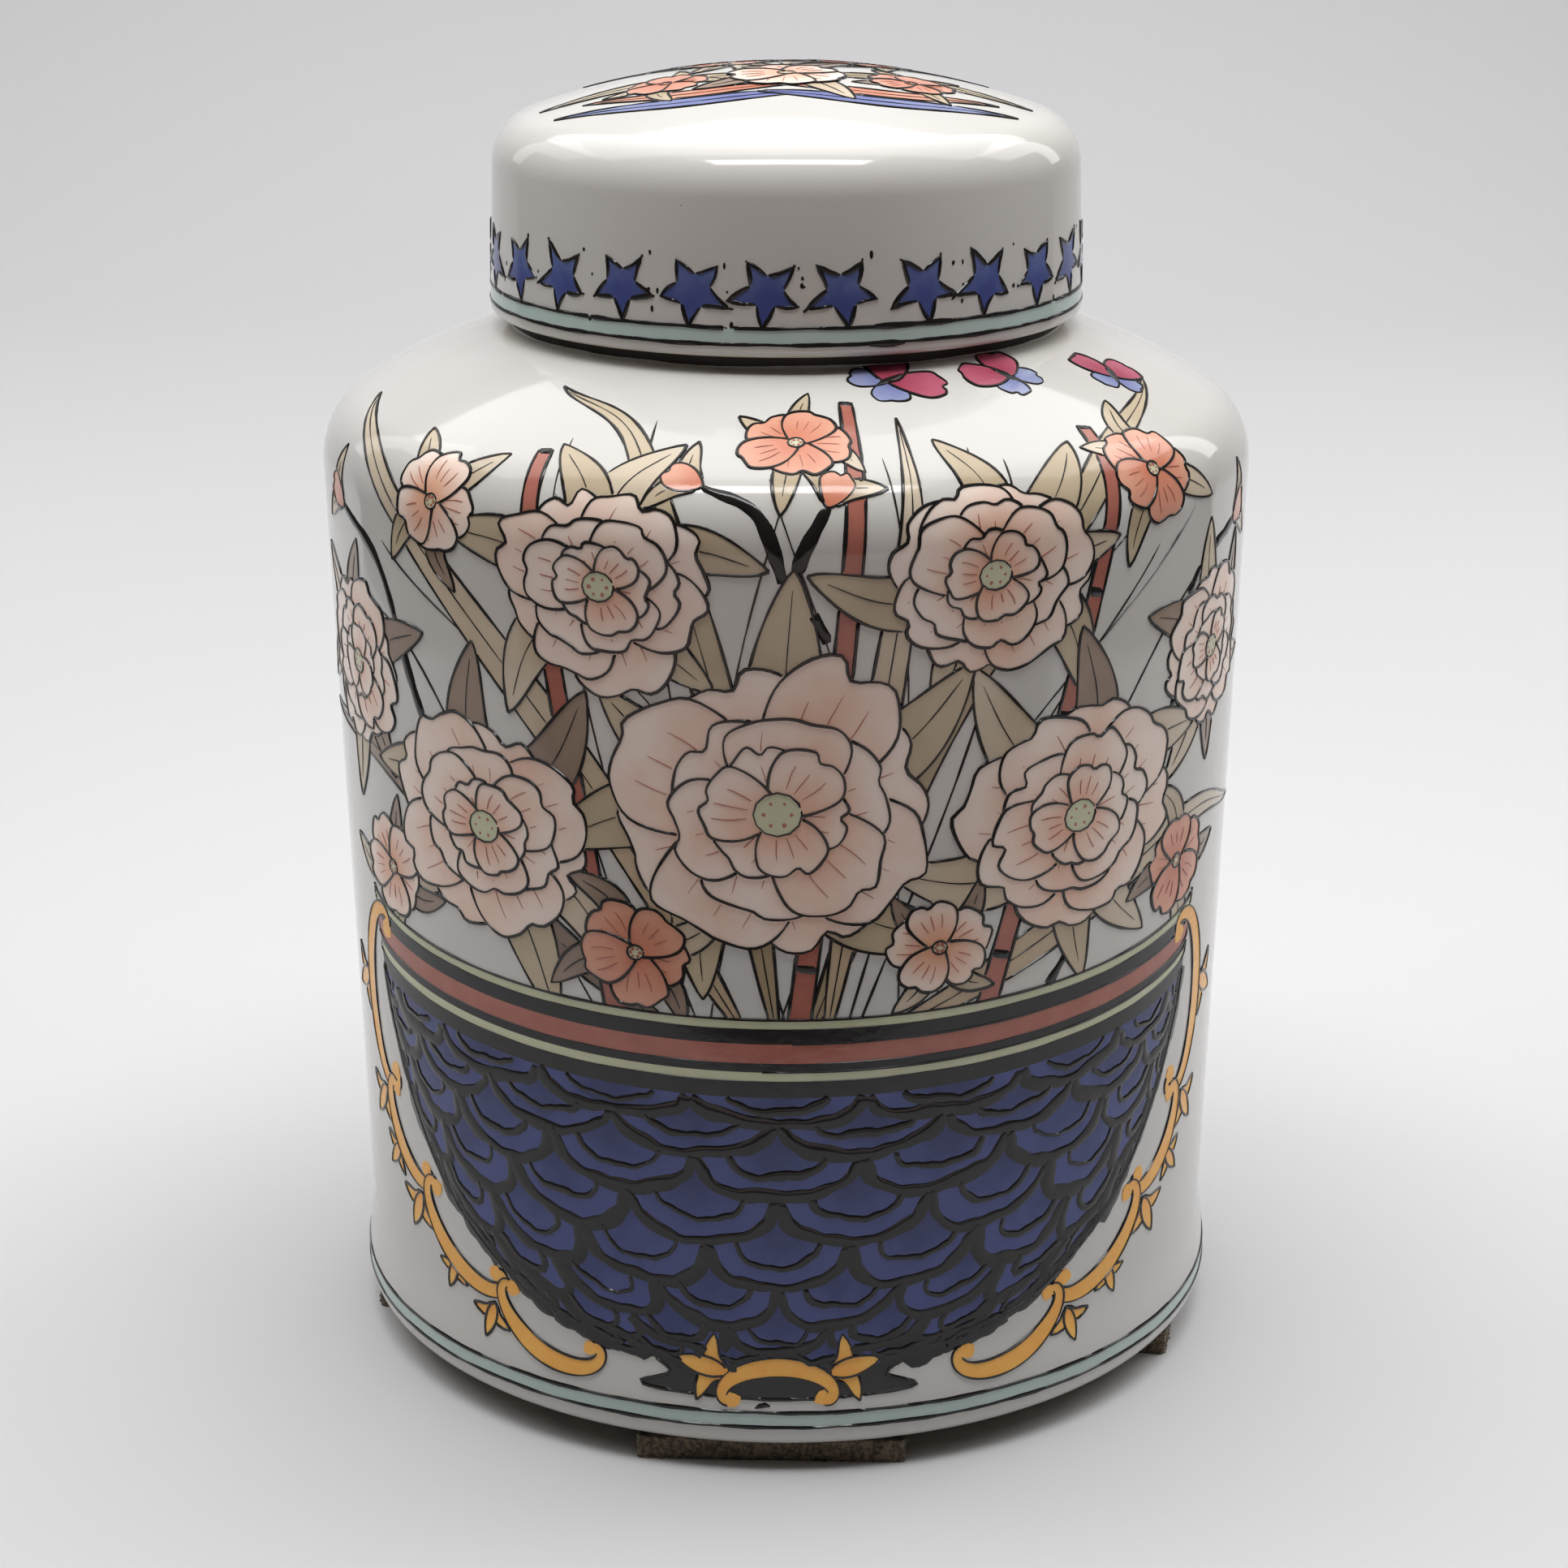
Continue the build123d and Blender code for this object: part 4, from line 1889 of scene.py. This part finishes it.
@dataclass
class FeltStrips:
    """The strips of felt under the foot, on their films of glue, with bearings as shares of a turn.

    Matting is the spread of the fibres along the faces and up. A tuft's reach is its length and its spread.
    """

    length: float = 58.5
    width: float = 22.0
    thickness: float = 5.2
    middle: float = 84.3
    bearings: tuple[tuple[str, float], ...] = (
        ("front", -0.2556), ("right", -0.0306), ("back", 0.2389), ("left", 0.4889),
    )
    corner: float = 1.2
    cells: tuple[float, float, float] = (0.8, 0.8, 0.62)
    matting: Point = (0.06, 0.08)
    tuft_share: float = 0.45
    tuft_reach: Point = (0.22, 0.16)
    tuft_tip: float = 0.25
    crease: float = 80.0
    seed: int = 3

    def build(self) -> list[bpy.types.Object]:
        """Make a fuzzy strip for each packed pad, and dress the glue.

        Returns:
            The strips.
        """
        felt, glue = Felt().material(), Glue().material()
        strips = []
        for number, (side, share) in enumerate(self.bearings):
            slab = self.strip(share * TURN, self.seed + number)
            strip = finish_piece(slab, f"felt_strip_{side}", felt, "jar", self.crease)
            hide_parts(f"felt_pad_{side}")
            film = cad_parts[f"pad_glue_{side}"]
            film.data.materials.clear()
            film.data.materials.append(glue)
            LOG.info("%s: dressed", film.name)
            strips.append(strip)
        return strips

    def strip(self, bearing: float, seed: int) -> bmesh.types.BMesh:
        """Make one strip: a slab with softened edges, matted faces and loose tufts on its sides.

        Args:
            bearing: Its bearing in radians.
            seed: The seed of its tufts.

        Returns:
            The mesh in metres.
        """
        chance = np.random.default_rng(seed)
        bm = bmesh.new()
        bmesh.ops.create_cube(bm, size=1.0)
        bmesh.ops.scale(bm, vec=(self.width, self.length, self.thickness), verts=bm.verts)
        upright = [e for e in bm.edges if abs(e.verts[0].co.z - e.verts[1].co.z) > 1]
        bmesh.ops.bevel(bm, geom=upright, offset=self.corner, segments=3, profile=0.5, affect="EDGES",
                        material=-1)
        for axis, half in ((1, self.length / 2), (0, self.width / 2), (2, self.thickness / 2)):
            cell = self.cells[axis]
            slice_mesh(bm, axis, np.arange(-half + cell, half - cell / 2, cell))
        sides = [f for f in bm.faces if abs(f.normal.z) < 0.5]
        along, up = self.matting
        for vert in bm.verts:
            vert.co.x += chance.normal(0, along)
            vert.co.y += chance.normal(0, along)
            if abs(vert.co.z) < self.thickness / 2 - 0.1:
                vert.co.z += chance.normal(0, up)
        tufts = [f for f in sides if chance.random() < self.tuft_share]
        for face in bmesh.ops.extrude_discrete_faces(bm, faces=tufts)["faces"]:
            heart = face.calc_center_median()
            lean = Vector(chance.normal(0, self.tuft_reach[1], 3))
            lean += face.normal * abs(chance.normal(*self.tuft_reach))
            for vert in face.verts:
                vert.co = heart + (vert.co - heart) * self.tuft_tip + lean
                vert.co.z = max(-self.thickness / 2, min(self.thickness / 2, vert.co.z))
        c, s = math.cos(bearing), math.sin(bearing)
        for vert in bm.verts:
            x, y, z = vert.co.x + self.middle, vert.co.y, vert.co.z + self.thickness / 2
            vert.co = Vector((c * x - s * y, s * x + c * y, z)) * MM
        return bm


@dataclass(frozen=True)
class Lamp:
    """A soft lamp: its name, its place, the point that it faces, its size and its power in watts.

    A lamp that isn't mirrored lights the jar, but the gloss of its glaze doesn't show it.
    """

    name: str
    place: tuple[float, float, float]
    aim: tuple[float, float, float]
    size: Point
    power: float
    colour: Colour = (1.0, 1.0, 1.0)
    mirrored: bool = True

    def hang(self) -> None:
        """Put the lamp in the scene."""
        light = bpy.data.lights.new(self.name, "AREA")
        light.shape = "RECTANGLE"
        light.size, light.size_y = self.size
        light.energy = self.power
        light.color = self.colour
        lamp = bpy.data.objects.new(self.name, light)
        lamp.visible_glossy = self.mirrored
        lamp.location = self.place
        lamp.rotation_euler = (Vector(self.aim) - Vector(self.place)).to_track_quat("-Z", "Y").to_euler()
        bpy.context.scene.collection.objects.link(lamp)


@dataclass
class Studio:
    """The pale sweep of paper, the dark cards, the lamps and the camera, in metres."""

    width: float = 5.0
    front: float = -0.3
    bend_start: float = 1.3
    bend_radius: float = 1.0
    height: float = 3.0
    lens: float = 75.76
    sensor: float = 36.0
    eye: tuple[float, float, float] = (-0.0005, -0.7344, 0.3653)
    pitch: float = 18.17
    lamps: tuple[Lamp, ...] = (
        Lamp("ceiling_back", (0.0, 0.85, 1.6), (0.0, 0.85, 0.0), (3.0, 1.7), 29.0),
        Lamp("top_box", (0.0, 0.0, 0.95), (0.0, 0.0, 0.0), (0.74, 0.36), 1.95, mirrored=False),
        Lamp("front_box", (0.01, -0.25, 0.95), (0.01, -0.25, 0.0), (0.56, 0.15), 2.6),
        Lamp("high_box", (0.0, -0.2, 1.6), (0.0, -0.2, 0.0), (1.2, 0.5), 1.6),
        Lamp("left_panel", (-0.95, 0.5, 0.75), (0.0, 0.0, 0.15), (0.6, 0.8), 1.6),
        Lamp("right_panel", (0.95, 0.5, 0.75), (0.0, 0.0, 0.15), (0.6, 0.8), 3.1),
        Lamp("left_fill", (-0.8, -0.05, 1.0), (0.0, 0.0, 0.1), (0.7, 0.7), 3.7, mirrored=False),
        Lamp("right_fill", (0.8, -0.05, 1.0), (0.0, 0.0, 0.1), (0.7, 0.7), 3.1, mirrored=False),
        Lamp("front_reflector", (0.0, -0.75, 0.002), (0.0, -0.75, 1.0), (1.4, 0.7), 2.35,
             (1.0, 0.85, 0.82)),
    )
    card_x: float = 0.66
    card_y: tuple[float, float] = (-0.9, 0.40)
    card_top: float = 0.6
    glow: Colour = (1.0, 0.92, 0.85)
    ambient: float = 0.004

    def build(self) -> None:
        """Put up the paper, the cards, the lamps, the dim room and the camera."""
        bm = bmesh.new()
        path = [(self.front, 0.0), (self.bend_start, 0.0)]
        for turn in np.linspace(0, math.pi / 2, 25)[1:]:
            path.append((
                self.bend_start + self.bend_radius * math.sin(turn),
                self.bend_radius * (1 - math.cos(turn)),
            ))
        path.append((path[-1][0], self.height))
        chain = [bm.verts.new((-self.width / 2, y, z)) for y, z in path]
        links = [bm.edges.new(pair) for pair in zip(chain, chain[1:])]
        across = verts_in(bmesh.ops.extrude_edge_only(bm, edges=links)["geom"])
        bmesh.ops.translate(bm, vec=(self.width, 0, 0), verts=across)
        bm.normal_update()
        bmesh.ops.reverse_faces(bm, faces=[f for f in bm.faces if f.normal.z < 0 or f.normal.y > 0.5])
        finish_piece(bm, "paper_sweep", Paper().material(), "")
        for side in (-1, 1):
            self.card(side)
        for lamp in self.lamps:
            lamp.hang()
        self.room()
        self.camera()

    def room(self) -> None:
        """Make the dim room round the set, which the camera sees as pale as the paper."""
        world = bpy.data.worlds.new("dim_room")
        world.use_nodes = True
        tree = world.node_tree
        dim = tree.nodes["Background"]
        pale = tree.nodes.new("ShaderNodeBackground")
        for background, colour, strength in ((dim, self.glow, self.ambient), (pale, Paper().pale, 1.0)):
            background.inputs["Color"].default_value = (*colour, 1.0)
            background.inputs["Strength"].default_value = strength
        path = tree.nodes.new("ShaderNodeLightPath")
        mix = tree.nodes.new("ShaderNodeMixShader")
        tree.links.new(path.outputs["Is Camera Ray"], mix.inputs[0])
        tree.links.new(dim.outputs[0], mix.inputs[1])
        tree.links.new(pale.outputs[0], mix.inputs[2])
        tree.links.new(mix.outputs[0], tree.nodes["World Output"].inputs["Surface"])
        bpy.context.scene.world = world

    def card(self, side: int) -> None:
        """Stand a dark card beside the jar, out of the camera's sight, that its glaze mirrors.

        Args:
            side: -1 for the left card and 1 for the right one.
        """
        bm = bmesh.new()
        near, far = (bm.verts.new((side * self.card_x, y, 0.0)) for y in self.card_y)
        raised = verts_in(bmesh.ops.extrude_edge_only(bm, edges=[bm.edges.new((near, far))])["geom"])
        bmesh.ops.translate(bm, vec=(0, 0, self.card_top), verts=raised)
        card = finish_piece(bm, "card_left" if side < 0 else "card_right", Card().material(), "")
        card.visible_camera = False
        card.visible_shadow = False

    def camera(self) -> None:
        """Set the camera where the photograph was taken from."""
        lens = bpy.data.cameras.new("camera")
        lens.sensor_width = self.sensor
        lens.lens = self.lens
        lens.clip_start, lens.clip_end = 0.01, 50.0
        camera = bpy.data.objects.new("camera", lens)
        camera.location = self.eye
        camera.rotation_euler = (math.radians(90 - self.pitch), 0, 0)
        bpy.context.scene.collection.objects.link(camera)
        bpy.context.scene.camera = camera


def main() -> None:
    """Build every piece in order."""
    logging.basicConfig(level=logging.INFO, format="%(name)s: %(message)s")
    bpy.context.scene.view_settings.view_transform = "Standard"
    Studio().build()
    jar = JarBody()
    jar.build()
    jar.paint()
    lid = Lid()
    lid.build()
    lid.paint()
    FeltStrips().build()


if __name__ == "__main__":
    main()
